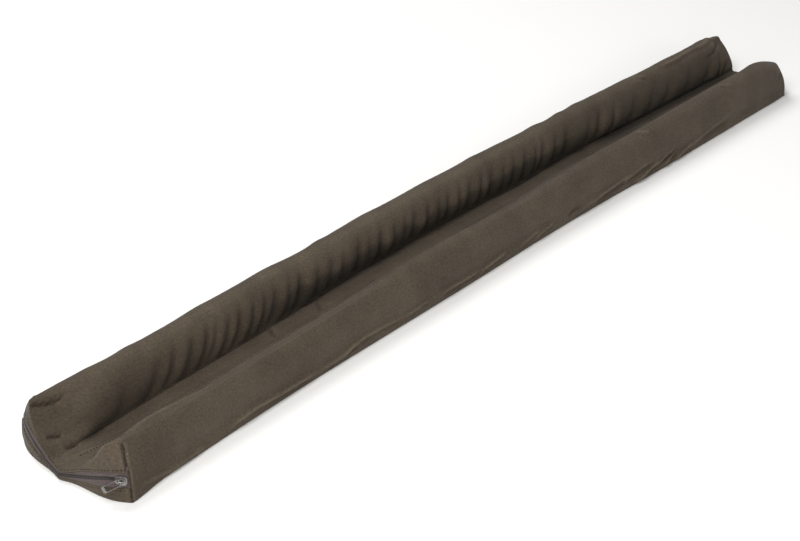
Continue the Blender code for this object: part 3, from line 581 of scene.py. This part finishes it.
def end_relief(end, ring, columns):
    """Relief of the end cloth beside its two corner seams, with painted shade in their grooves and painted
    highlight beside them.
    """
    relief, painted_shading = np.zeros(columns.shape[:2]), np.zeros(columns.shape[:2])
    for seam in (ring[:CREST_STEP], ring[:RING - 1 - CREST_STEP:-1]):
        gap = abs(columns[..., 1] - seam[None, :, 1])
        for total, share in zip((relief, painted_shading), corner_relief(gap)):
            total += share
    return relief, painted_shading


def face_normals(points, faces):
    a, b, c, d = (points[faces[:, n]] for n in range(4))
    return np.cross(c - a, d - b)


def vertex_normals(points, faces):
    total = np.zeros_like(points)
    normals = face_normals(points, faces)
    for n in range(4):
        np.add.at(total, faces[:, n], normals)
    size = np.linalg.norm(total, axis=1)
    return total / np.where(size > 0, size, 1.0)[:, None]


def quads(lines, flip=False):
    """Quads between neighbouring lines of vertex numbers."""
    a, b, c, d = lines[:-1, :-1], lines[1:, :-1], lines[1:, 1:], lines[:-1, 1:]
    corners = (a, d, c, b) if flip else (a, b, c, d)
    return np.stack(corners, axis=-1).reshape(-1, 4)


def station_places():
    """Places of the sections along the rolls, closer together at the corner seams."""
    half, first = LENGTH / 2, np.array(NEAR_SEAM)
    count = round((LENGTH - 2 * first[-1]) / STATION_STEP)
    middle = np.linspace(first[-1] - half, half - first[-1], count + 1)
    return np.concatenate((first[:-1] - half, middle, half - first[-2::-1]))


def make_cover(mat):
    """The cover's fine mesh, and the finished grid and zip end for what is sewn to them."""
    stations = station_places()
    grid = smooth_rings(np.array([control_ring(x) for x in stations]))
    grid[..., 2] = np.maximum(grid[..., 2], 0.0)
    ends = {end: end_columns(end, grid[0 if end < 0 else -1]) for end in (-1, 1)}
    run = np.concatenate((np.zeros((len(stations), 1)),
                          np.cumsum(np.linalg.norm(np.diff(grid, axis=1), axis=2), axis=1)), axis=1)
    x = np.broadcast_to(stations[:, None], run.shape)

    numbers = np.arange(len(stations) * RING).reshape(len(stations), RING)
    count = numbers.size
    groups = [quads(numbers)]
    feet = {}
    for end, columns in ends.items():
        ring = numbers[0 if end < 0 else -1]
        own = count + np.arange(columns.shape[0] * columns.shape[1]).reshape(columns.shape[:2])
        count += own.size
        brow = ring[BROWS, None]
        lines = np.vstack((ring[:CREST_STEP + 1], np.hstack((own, brow)),
                           ring[:RING - 2 - CREST_STEP:-1]))
        groups.append(quads(lines, flip=end < 0))
        feet[end] = lines[:, 0].tolist()
    points = np.concatenate([grid.reshape(-1, 3)] + [ends[end].reshape(-1, 3) for end in (-1, 1)])
    faces = np.concatenate(groups)
    reliefs = [grid_relief(x, run)]
    reliefs += [end_relief(end, grid[0 if end < 0 else -1], ends[end]) for end in (-1, 1)]
    relief, painted_shading = (np.concatenate([pair[k].ravel() for pair in reliefs]) for k in (0, 1))
    relief += ripple(points)
    relief *= np.clip(points[:, 2] / 2.5, 0.0, 1.0)
    points = points + vertex_normals(points, faces) * relief[:, None]
    points[:, 2] = np.maximum(points[:, 2], 0.0)
    points = placed(points)

    floor = np.stack((numbers[:-1, 0], numbers[:-1, -1], numbers[1:, -1], numbers[1:, 0]), axis=-1)
    face_list = faces.tolist() + floor.tolist() + [feet[-1], feet[1][::-1]]
    mesh = bpy.data.meshes.new("draught_cover")
    mesh.from_pydata(points.tolist(), [], face_list)

    # Place on the cloth in metres, along and across its threads
    on_rolls = np.stack((x.ravel(), run.ravel(), 0 * run.ravel()), axis=-1)
    own = points[:, [1, 2, 0]] / MM
    plan = points[:, [0, 1, 2]] / MM
    on_rolls = np.vstack((on_rolls, own[len(on_rolls):]))
    loops = corner_vertices(mesh)
    first, second = groups[0].size, faces.size
    store_weave(mesh, np.concatenate((on_rolls[loops[:first]], own[loops[first:second]],
                                      plan[loops[second:]])))
    # Painted light and shade for the cloth's colour: lighter on ridges, darker in creases, seams and the
    # channel
    painted_shading_store = mesh.attributes.new("painted_shading", "FLOAT", "POINT")
    painted_shading_store.data.foreach_set("value", painted_shading)
    cover = add_piece("draught_cover", mesh, mat, "cover_cloth")
    shaped = points[:numbers.size].reshape(len(stations), RING, 3)
    zip_end = points[numbers.size:numbers.size + ends[-1].shape[0] * ends[-1].shape[1]]
    zip_end = zip_end.reshape(ends[-1].shape)
    zip_end = np.concatenate((zip_end, shaped[0, BROWS, None]), axis=1)
    return cover, stations, shaped, zip_end


def corner_vertices(mesh):
    """Number of the vertex at each face corner."""
    numbers = np.empty(len(mesh.loops), dtype=int)
    mesh.loops.foreach_get("vertex_index", numbers)
    return numbers


def store_weave(mesh, places):
    """Keep each face corner's place on the cloth, given in millimetres, for the woven material."""
    store = mesh.attributes.new("weave", "FLOAT_VECTOR", "CORNER")
    store.data.foreach_set("vector", (places * MM).ravel())


def add_piece(name, mesh, mat, slot, *nodes):
    mesh.materials.append(mat)
    mesh.shade_smooth()
    obj = bpy.data.objects.new(name, mesh)
    bpy.context.scene.collection.objects.link(obj)
    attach(obj, "root")
    if nodes:
        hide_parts(*nodes)
    return obj


def distances(path):
    """Distance of each point of a path from its start."""
    return np.concatenate(([0.0], np.cumsum(np.linalg.norm(np.diff(path, axis=0), axis=1))))


def value_at(s, place, values):
    """The value at distance s, from the values at the path's points."""
    return np.array([np.interp(s, place, values[:, k]) for k in range(3)])


def tube_faces(base, cuts, sides):
    """Faces of a closed tube whose vertices start at number base, one ring after another."""
    faces = []
    for cut in range(cuts - 1):
        for k in range(sides):
            a, b = base + cut * sides + k, base + cut * sides + (k + 1) % sides
            faces.append((a, b, b + sides, a + sides))
    last = base + (cuts - 1) * sides
    return faces + [tuple(range(base, base + sides))[::-1], tuple(range(last, last + sides))]


def stitches(path, normals, size):
    """Vertices and faces of a row of thread stitches along a path, all in metres."""
    length, pitch, thick = (value * MM for value in size)
    path, normals = np.asarray(path), np.asarray(normals)
    place = distances(path)
    sides, cuts = 6, 5
    verts, faces = [], []
    for n in range(int((place[-1] - length) / pitch) + 1):
        start = (n + STITCH_UNEVEN * math.sin(2.4 * n)) * pitch
        start = min(max(start, 0.0), place[-1] - length)
        base = len(verts)
        for cut in range(cuts):
            s = start + length * cut / (cuts - 1)
            here, up = value_at(s, place, path), value_at(s, place, normals)
            ahead = (value_at(min(s + 1e-4, place[-1]), place, path)
                     - value_at(max(s - 1e-4, 0.0), place, path))
            across = np.cross(ahead, up)
            across /= np.linalg.norm(across)
            arch = math.sin(math.pi * cut / (cuts - 1))
            radius = thick / 2 * (0.45 + 0.55 * arch)
            here = here + up * thick * (0.55 * arch - 0.35)
            for k in range(sides):
                angle = 2 * math.pi * k / sides
                verts.append(here + radius * (math.cos(angle) * across + math.sin(angle) * up))
        faces += tube_faces(base, cuts, sides)
    return verts, faces


def thread_piece(name, rows, mat):
    """One piece from several stitched rows: path, normals, size."""
    verts, faces = [], []
    for path, normals, size in rows:
        more, joined = stitches(path, normals, size)
        faces += [tuple(n + len(verts) for n in face) for face in joined]
        verts += more
    mesh = bpy.data.meshes.new(name)
    mesh.from_pydata([tuple(v) for v in verts], [], faces)
    return add_piece(name, mesh, mat, "cover_cloth")


def nodes_of(name):
    mat = bpy.data.materials.new(name)
    mat.use_nodes = True
    tree = mat.node_tree
    return mat, tree, tree.nodes["Principled BSDF"]


def node(tree, kind, inputs=(), **settings):
    """A node with its settings, its inputs set to numbers or linked to sockets by name or place."""
    made = tree.nodes.new(kind)
    for key, value in settings.items():
        setattr(made, key, value)
    for key, value in dict(inputs).items():
        if isinstance(value, bpy.types.NodeSocket):
            tree.links.new(value, made.inputs[key])
        else:
            made.inputs[key].default_value = value
    return made


def math_node(tree, operation, *values):
    return node(tree, "ShaderNodeMath", enumerate(values), operation=operation).outputs[0]


def woven_height(tree, place, thread):
    """Height of a plain weave, from 0 to 1, with threads of that width in metres."""
    split = node(tree, "ShaderNodeSeparateXYZ", {0: place})
    waves = [math_node(tree, "SINE", math_node(tree, "MULTIPLY", split.outputs[axis], math.pi / thread))
             for axis in (0, 1)]
    over = math_node(tree, "GREATER_THAN", math_node(tree, "MULTIPLY", *waves), 0.0)
    warp, weft = (math_node(tree, "ABSOLUTE", wave) for wave in waves)
    mixed = node(tree, "ShaderNodeMix", {0: over, 2: warp, 3: weft}, data_type="FLOAT")
    return mixed.outputs[0]


def finish(tree, shader, tone, stops, grain, rough, height, bump, depth):
    """Colour by tone through the stops of a ramp, roughness by grain, and relief by height."""
    ramp = node(tree, "ShaderNodeValToRGB", {0: tone})
    elements = ramp.color_ramp.elements
    while len(elements) < len(stops):
        elements.new(0.5)
    for element, (position, colour) in zip(elements, stops):
        element.position = position
        element.color = (*colour, 1.0)
    tree.links.new(ramp.outputs[0], shader.inputs["Base Color"])
    roughness = node(tree, "ShaderNodeMapRange", {0: grain, 3: rough[0], 4: rough[1]})
    tree.links.new(roughness.outputs[0], shader.inputs["Roughness"])
    relief = node(tree, "ShaderNodeBump", {"Height": height, "Strength": bump, "Distance": depth})
    tree.links.new(relief.outputs[0], shader.inputs["Normal"])


def cloth_material(name, dark, light, thread, sheen, bump):
    """Plain woven cloth: colour that varies from patch to patch and thread to thread, a weave, and painted
    light and shade.
    """
    mat, tree, shader = nodes_of(name)
    place = node(tree, "ShaderNodeAttribute", attribute_name="weave").outputs["Vector"]
    solid = node(tree, "ShaderNodeTexCoord").outputs["Object"]
    patches = node(tree, "ShaderNodeTexNoise", {"Vector": solid, "Scale": 26.0, "Detail": 4.0,
                                                "Roughness": 0.6}).outputs["Fac"]
    stretch = node(tree, "ShaderNodeMapping", {"Vector": place, "Scale": (0.7, 1.0, 1.0)})
    slubs = node(tree, "ShaderNodeTexNoise", {"Vector": stretch.outputs[0], "Scale": 620.0,
                                              "Detail": 3.0, "Roughness": 0.7}).outputs["Fac"]
    painted_shading = node(tree, "ShaderNodeAttribute", attribute_name="painted_shading").outputs["Fac"]
    weave = woven_height(tree, place, thread)
    tone = math_node(tree, "ADD", math_node(tree, "MULTIPLY", patches, 0.5),
                     math_node(tree, "MULTIPLY", slubs, 0.75))
    tone = math_node(tree, "ADD", tone, math_node(tree, "MULTIPLY", weave, 0.15))
    # Painted light and shade from the stored attribute moves the tone lighter or darker
    tone = math_node(tree, "ADD", tone, math_node(tree, "MULTIPLY", painted_shading, 0.32))
    stops = ((0.15, [c * 0.4 for c in dark]), (0.50, dark), (0.90, light),
             (1.0, [c * 1.3 for c in light]))
    height = math_node(tree, "ADD", math_node(tree, "MULTIPLY", weave, 0.6), slubs)
    finish(tree, shader, tone, stops, slubs, (0.86, 0.98), height, bump, 0.0002)
    shader.inputs["Specular IOR Level"].default_value = 0.12
    shader.inputs["Sheen Weight"].default_value = sheen
    shader.inputs["Sheen Roughness"].default_value = 0.5
    return mat


def plain_material(name, colour, other, roughness, metallic, scale):
    """A material whose colour and roughness vary a little with fine scratches or grain."""
    mat, tree, shader = nodes_of(name)
    solid = node(tree, "ShaderNodeTexCoord").outputs["Object"]
    grain = node(tree, "ShaderNodeTexNoise", {"Vector": solid, "Scale": scale,
                                              "Detail": 4.0}).outputs["Fac"]
    finish(tree, shader, grain, ((0.35, colour), (0.7, other)), grain,
           (roughness, roughness + 0.15), grain, 0.2, 0.0001)
    shader.inputs["Metallic"].default_value = metallic
    return mat


def zip_brows():
    """The points over the zip end, from the front corner to the rear one."""
    return smooth_rings(np.array([control_ring(-LENGTH / 2)]))[0][BROWS]


def make_tape(name, side, mat, node_name):
    """A cloth tape along the zip; side is 1 for the lower tape, -1 for the upper."""
    points = np.array([[on_end(-1, brow, level, depth) for level, depth in tape_profile(brow, side)]
                       for brow in zip_brows()])
    count, corners = points.shape[:2]
    numbers = np.arange(count * corners).reshape(count, corners)
    lines = np.hstack((numbers, numbers[:, :1]))
    faces = quads(lines).tolist() + [numbers[0].tolist()[::-1], numbers[-1].tolist()]
    mesh = bpy.data.meshes.new(name)
    mesh.from_pydata(placed(points.reshape(-1, 3)).tolist(), [], faces)
    run = distances(points[:, 0])
    place = np.stack((np.repeat(run, corners), np.tile(np.arange(corners) * 1.0, count),
                      np.zeros(count * corners)), axis=-1)
    store_weave(mesh, place[corner_vertices(mesh)])
    return add_piece(name, mesh, mat, "zip_tape_cloth", node_name)


def tape_profile(brow, side):
    """Height and depth round a tape's profile; side is 1 for the lower tape, -1 for the upper."""
    low, teeth, high = zip_heights(brow)
    edge, room = (low, low - 0.4) if side > 0 else (high, brow[2] - high - 0.7)
    inner = teeth - side * TEETH_HALF
    to_corner = (CORNERS[-1][1] - abs(brow[1])) / 5.0     # less is hidden near the corner seams
    hidden = min(TAPE_HIDDEN, max(room, 0.1) * min(max(to_corner, 0.05), 1.0))
    front = [(edge - side * hidden, 2.1), (edge - side * hidden * 0.4, 1.7), (edge + side * 0.2, 0.9),
             (edge + side * 1.1, TAPE_FRONT + 0.05), (inner - side * 1.2, TAPE_FRONT),
             (inner - side * 0.5, TAPE_FRONT - 0.12), (inner, TAPE_FRONT + 0.05)]
    profile = front + [(level, depth + TAPE_BACK) for level, depth in reversed(front)]
    return profile[::side]


def teeth_path():
    """Points along the teeth and the directions along, up and out, in metres."""
    brows = zip_brows()
    middle = placed([on_end(-1, b, zip_heights(b)[1], 0.3) for b in brows])
    above = placed([on_end(-1, b, zip_heights(b)[1] + 1.0, 0.3) for b in brows])
    ahead = np.gradient(middle, axis=0)
    ahead /= np.linalg.norm(ahead, axis=1)[:, None]
    rise = above - middle
    rise -= ahead * np.sum(rise * ahead, axis=1)[:, None]
    rise /= np.linalg.norm(rise, axis=1)[:, None]
    return middle, ahead, rise, np.cross(rise, ahead)


def make_teeth(mat):
    middle, ahead, rise, out = teeth_path()
    place = distances(middle)
    step = TOOTH_PITCH * MM / 2
    long, wide, thick = (value * MM / 2 for value in TOOTH)
    verts, faces = [], []
    sides, cuts = 8, (-1.0, -0.86, -0.45, 0.0, 0.45, 0.86, 1.0)
    for n in range(int(place[-1] / step)):
        s = (n + 0.5) * step
        here, along_way, up, face = (value_at(s, place, values) for values in (middle, ahead, rise, out))
        here = here + up * (TOOTH_SHIFT * MM * (1 if n % 2 else -1))
        base = len(verts)
        for cut in cuts:
            size = math.sqrt(max(1.0 - cut ** 4, 0.02))
            for k in range(sides):
                angle = 2 * math.pi * k / sides
                verts.append(here + up * cut * long
                             + size * (along_way * wide * math.cos(angle) + face * thick * math.sin(angle)))
        faces += tube_faces(base, len(cuts), sides)
    mesh = bpy.data.meshes.new("zip_teeth")
    mesh.from_pydata([tuple(v) for v in verts], [], faces)
    return add_piece("zip_teeth", mesh, mat, "zip_coil_nylon", "zip_coil")


def slider_frame():
    """Frame over the teeth at the slider: x along the zip to the middle, y down, z out."""
    brow_z = SECTION[NAMES.index("crown")].near_z

    def teeth_point(y, rise=0.0):
        brow = (0.0, y, brow_z)
        return Vector(placed(on_end(-1, brow, zip_heights(brow)[1] + rise)))

    here = teeth_point(-SLIDER_AT)
    run = (teeth_point(SLIDER[0] / 3 - SLIDER_AT) - teeth_point(-SLIDER[0] / 3 - SLIDER_AT)).normalized()
    rise = teeth_point(-SLIDER_AT, SLIDER[1] / 3) - teeth_point(-SLIDER_AT, -SLIDER[1] / 3)
    out = run.cross(rise).normalized()
    if out.x > 0.0:
        out = -out
    down = out.cross(run).normalized()
    turn = Matrix((run, down, out)).transposed().to_4x4()
    base = TAPE_THICK + COIL_PROUD - (RECESS - GAP) + GAP
    return Matrix.Translation(here + out * base * MM) @ turn @ Matrix.Scale(MM, 4)


def rounded_outline(length, width, corner, start, count=6):
    """Corner-rounded rectangle from x = start to start + length, as (x, y), counter-clockwise."""
    points = []
    half = width / 2
    for cx, cy, first in ((start + length - corner, half - corner, 0.0),
                          (start + corner, half - corner, 90.0),
                          (start + corner, -half + corner, 180.0),
                          (start + length - corner, -half + corner, 270.0)):
        for n in range(count):
            angle = math.radians(first + 90.0 * n / (count - 1))
            points.append((cx + corner * math.cos(angle), cy + corner * math.sin(angle)))
    return points


def bevelled(mesh, size, segments=2):
    """All edges sharper than 40 degrees rounded off."""
    mesh.normal_update()
    sharp = [e for e in mesh.edges if len(e.link_faces) == 2 and e.calc_face_angle() > math.radians(40)]
    bmesh.ops.bevel(mesh, geom=sharp, offset=size, segments=segments, profile=0.6, affect="EDGES",
                    clamp_overlap=True)


def slab(outline, low, high, hole=None):
    """A plate with an outline, and with a hole if one is given with as many points."""
    mesh = bmesh.new()
    levels = []
    for z in (low, high):
        outer = [mesh.verts.new((x, y, z)) for x, y in outline]
        inner = [mesh.verts.new((x, y, z)) for x, y in hole] if hole else None
        levels.append((outer, inner))
    (low_out, low_in), (high_out, high_in) = levels
    walls = [(low_out, high_out)]
    if hole:
        walls += [(high_in, low_in), (high_out, high_in), (low_in, low_out)]
    for n in range(len(outline)):
        m = (n + 1) % len(outline)
        for one, two in walls:
            mesh.faces.new((one[n], one[m], two[m], two[n]))
    if not hole:
        mesh.faces.new(low_out[::-1])
        mesh.faces.new(high_out)
    return mesh


def tube(path, radii, sides=10):
    """A closed tube with an oval section along a path in the x, z plane; radii are in it and out."""
    mesh = bmesh.new()
    rings = []
    for n, (x, z) in enumerate(path):
        before, after = path[max(n - 1, 0)], path[min(n + 1, len(path) - 1)]
        dx, dz = after[0] - before[0], after[1] - before[1]
        size = math.hypot(dx, dz)
        nx, nz = -dz / size, dx / size
        ring = []
        for k in range(sides):
            angle = 2 * math.pi * k / sides
            inward = radii[0] * math.cos(angle)
            ring.append(mesh.verts.new((x + nx * inward, radii[1] * math.sin(angle), z + nz * inward)))
        rings.append(ring)
    for one, two in zip(rings, rings[1:]):
        for k in range(sides):
            m = (k + 1) % sides
            mesh.faces.new((one[k], one[m], two[m], two[k]))
    mesh.faces.new(rings[0])
    mesh.faces.new(rings[-1])
    bmesh.ops.recalc_face_normals(mesh, faces=mesh.faces)
    return mesh


def metal_piece(name, parts, matrix, mat, replaced):
    """One piece from several closed meshes in the slider's frame."""
    whole = bmesh.new()
    for part in parts:
        data = bpy.data.meshes.new("part")
        part.to_mesh(data)
        part.free()
        whole.from_mesh(data)
        bpy.data.meshes.remove(data)
    bmesh.ops.recalc_face_normals(whole, faces=whole.faces)
    bmesh.ops.transform(whole, matrix=matrix, verts=whole.verts)
    mesh = bpy.data.meshes.new(name)
    whole.to_mesh(mesh)
    whole.free()
    obj = add_piece(name, mesh, mat, "zip_metal", replaced)
    mesh.set_sharp_from_angle(angle=math.radians(45))
    return obj


def make_slider(mat):
    length, width, thick = SLIDER
    half, side = length / 2, width / 2
    outline = []
    for n in range(36):
        angle = 2 * math.pi * n / 36
        x, y = math.cos(angle), math.sin(angle)
        x = math.copysign(abs(x) ** 0.62, x)
        y = math.copysign(abs(y) ** 0.62, y)
        waist = 1.0 - 0.22 * max(x, 0.0) ** 2
        outline.append((x * half, y * side * waist))
    plate = slab(outline, 0.0, thick * 0.62)
    bevelled(plate, 0.28)
    crown = slab([(x * 0.72, y * 0.55) for x, y in outline], thick * 0.5, thick)
    bevelled(crown, 0.3)
    flanges = []
    for sign in (-1, 1):
        rail = slab(rounded_outline(length * 0.72, 0.9, 0.4, -half * 0.72), -0.25, thick * 0.5)
        bmesh.ops.translate(rail, verts=rail.verts, vec=(0.0, sign * side * 0.8, 0.0))
        bevelled(rail, 0.2)
        flanges.append(rail)
    room, clear = LOOP_CLEAR[0] / 2 + LOOP_BAR / 2, LOOP_CLEAR[1] + LOOP_BAR / 2
    arch = []
    for n in range(17):
        angle = math.pi * (1.0 - n / 16)
        arch.append((room * math.copysign(abs(math.cos(angle)) ** 0.5, math.cos(angle)),
                     thick + clear * math.sin(angle) ** 0.5 if 0 < n < 16 else thick))
    arch = [(-room, thick * 0.6)] + arch + [(room, thick * 0.6)]
    loop = tube(arch, (LOOP_BAR / 2, LOOP_BAR * 0.62))
    return metal_piece("zip_slider_body", [plate, crown, loop] + flanges, slider_frame(), mat, "zip_slider")


def make_pull(mat):
    length, width, thick = PULL
    window, opening = PULL_WINDOW
    start, base = -PULL_BAR / 2, SLIDER[2] + GAP
    outer = rounded_outline(length - start, width, 1.5, start)
    inner = rounded_outline(window, opening, 0.9, PULL_BAR / 2)
    tab = slab(outer, base, base + thick, inner)
    bevelled(tab, 0.3)
    matrix = slider_frame() @ Matrix.Rotation(PULL_DROOP, 4, "Z")
    return metal_piece("zip_pull_tab", [tab], matrix, mat, "zip_pull")


def surface_normals(points):
    ahead, round_ring = np.gradient(points, axis=0), np.gradient(points, axis=1)
    normals = np.cross(ahead, round_ring)
    return normals / np.linalg.norm(normals, axis=2)[..., None]


def hem_path(zip_end, offset, upper):
    """Path and normals of the stitching beside the zip's cloth edge, on the finished end cloth."""
    path, above = [], []
    for brow, column in zip(zip_brows(), zip_end):
        low, teeth, high = zip_heights(brow)
        levels = np.append(near_levels(brow)[0], brow[2])
        level = min(high + offset, brow[2]) if upper else low - offset
        if level < 1.0:
            continue
        for rise, points in ((0.0, path), (0.4 if upper else -0.4, above)):
            place = np.interp(level - abs(rise), levels, np.arange(len(levels)))
            n = min(int(place), len(levels) - 2)
            points.append(column[n] * (n + 1 - place) + column[n + 1] * (place - n))
    path = np.array(path[2:-2])
    ups = path - np.array(above[2:-2])
    out = np.cross(ups, np.gradient(path, axis=0))
    return path, out / np.linalg.norm(out, axis=1)[:, None]


def make_stitching(stations, shaped, zip_end, mat):
    normals = surface_normals(shaped)
    rows = []
    for upper in (True, False):
        path, out = hem_path(zip_end, HEM, upper)
        if len(path) > 3:
            rows.append((path, out, TOP_STITCH))
    centre = list(ROWS).index(MIDDLE)
    near, far = 12, len(stations) - 12
    for edge in (BAND[0] + 0.5, BAND[1] - 0.5):
        column = centre + edge / SECTION[MIDDLE - 1].y * STEPS[-1]
        low = int(column)
        part = column - low
        path = shaped[near:far, low] * (1 - part) + shaped[near:far, low + 1] * part
        rows.append((path, normals[near:far, low], SEAM_STITCH))
    for end in (0, len(stations) - 1):
        other = 1 if end == 0 else len(stations) - 2
        for line in (slice(2, CREST_STEP + 1), slice(RING - 1 - CREST_STEP, RING - 2)):
            out = shaped[end, line] - shaped[other, line]
            side = normals[end, line]
            mix = out / np.linalg.norm(out, axis=1)[:, None] + side
            mix /= np.linalg.norm(mix, axis=1)[:, None]
            rows.append((shaped[end, line], mix, CORNER_STITCH))
    return thread_piece("cover_stitching", rows, mat)


def add_camera():
    azimuth, elevation = (math.radians(angle) for angle in VIEW)
    back = Vector((math.sin(azimuth) * math.cos(elevation), -math.cos(azimuth) * math.cos(elevation),
                   math.sin(elevation)))
    data = bpy.data.cameras.new("camera")
    data.lens = VIEW_LENS
    data.sensor_width = 36.0
    camera = bpy.data.objects.new("camera", data)
    camera.location = Vector(VIEW_TARGET) + back * VIEW_DISTANCE
    camera.rotation_euler = back.to_track_quat("Z", "Y").to_euler()
    bpy.context.scene.collection.objects.link(camera)
    bpy.context.scene.camera = camera


def add_area(name, place, size, power):
    data = bpy.data.lights.new(name, "AREA")
    data.shape = "DISK"
    data.size = size
    data.energy = power
    data.color = LAMP_COLOUR
    lamp = bpy.data.objects.new(name, data)
    lamp.location = place
    lamp.rotation_euler = (Vector(place) - Vector(LAMP_TARGET)).to_track_quat("Z", "Y").to_euler()
    bpy.context.scene.collection.objects.link(lamp)


def add_studio():
    mesh = bpy.data.meshes.new("studio_floor")
    half = FLOOR_HALF
    mesh.from_pydata([(-half, -half, 0.0), (half, -half, 0.0), (half, half, 0.0), (-half, half, 0.0)],
                     [], [(0, 1, 2, 3)])
    floor = bpy.data.objects.new("studio_floor", mesh)
    floor.location.z = FLOOR_LEVEL
    bpy.context.scene.collection.objects.link(floor)
    mat, tree, shader = nodes_of("studio_paper")
    shader.inputs["Base Color"].default_value = FLOOR_COLOUR
    shader.inputs["Roughness"].default_value = 1.0
    shader.inputs["Specular IOR Level"].default_value = 0.0
    mesh.materials.append(mat)
    world = bpy.data.worlds.new("studio")
    world.use_nodes = True
    background = world.node_tree.nodes["Background"]
    background.inputs[0].default_value = (1.0, 1.0, 1.0, 1.0)
    background.inputs[1].default_value = SKY
    bpy.context.scene.world = world
    for lamp in LAMPS:
        add_area(*lamp)
    bpy.context.scene.view_settings.view_transform = "Standard"


cloth = cloth_material("dark_canvas", (0.042, 0.0330, 0.0235), (0.100, 0.0785, 0.0565),
                       0.0006, 0.08, 0.6)
tape_cloth = cloth_material("zip_tape_weave", (0.064, 0.048, 0.047), (0.112, 0.088, 0.085),
                            0.0005, 0.08, 0.6)
thread = cloth_material("sewing_thread", (0.010, 0.008, 0.007), (0.026, 0.021, 0.018),
                        0.0003, 0.0, 0.4)
nylon = plain_material("dark_nylon", (0.016, 0.013, 0.012), (0.030, 0.026, 0.024), 0.42, 0.0, 900.0)
nickel = plain_material("dull_nickel", (0.17, 0.165, 0.16), (0.30, 0.29, 0.28), 0.24, 1.0, 700.0)

cover, stations, shaped, zip_end = make_cover(cloth)
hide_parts("cover")
for name, side, node_name in (("tape_upper", -1, "zip_tape_upper"),
                              ("tape_lower", 1, "zip_tape_lower")):
    strip = make_tape(name, side, tape_cloth, node_name)
make_teeth(nylon)
make_slider(nickel)
make_pull(nickel)
make_stitching(stations, shaped, zip_end, thread)
add_camera()
add_studio()
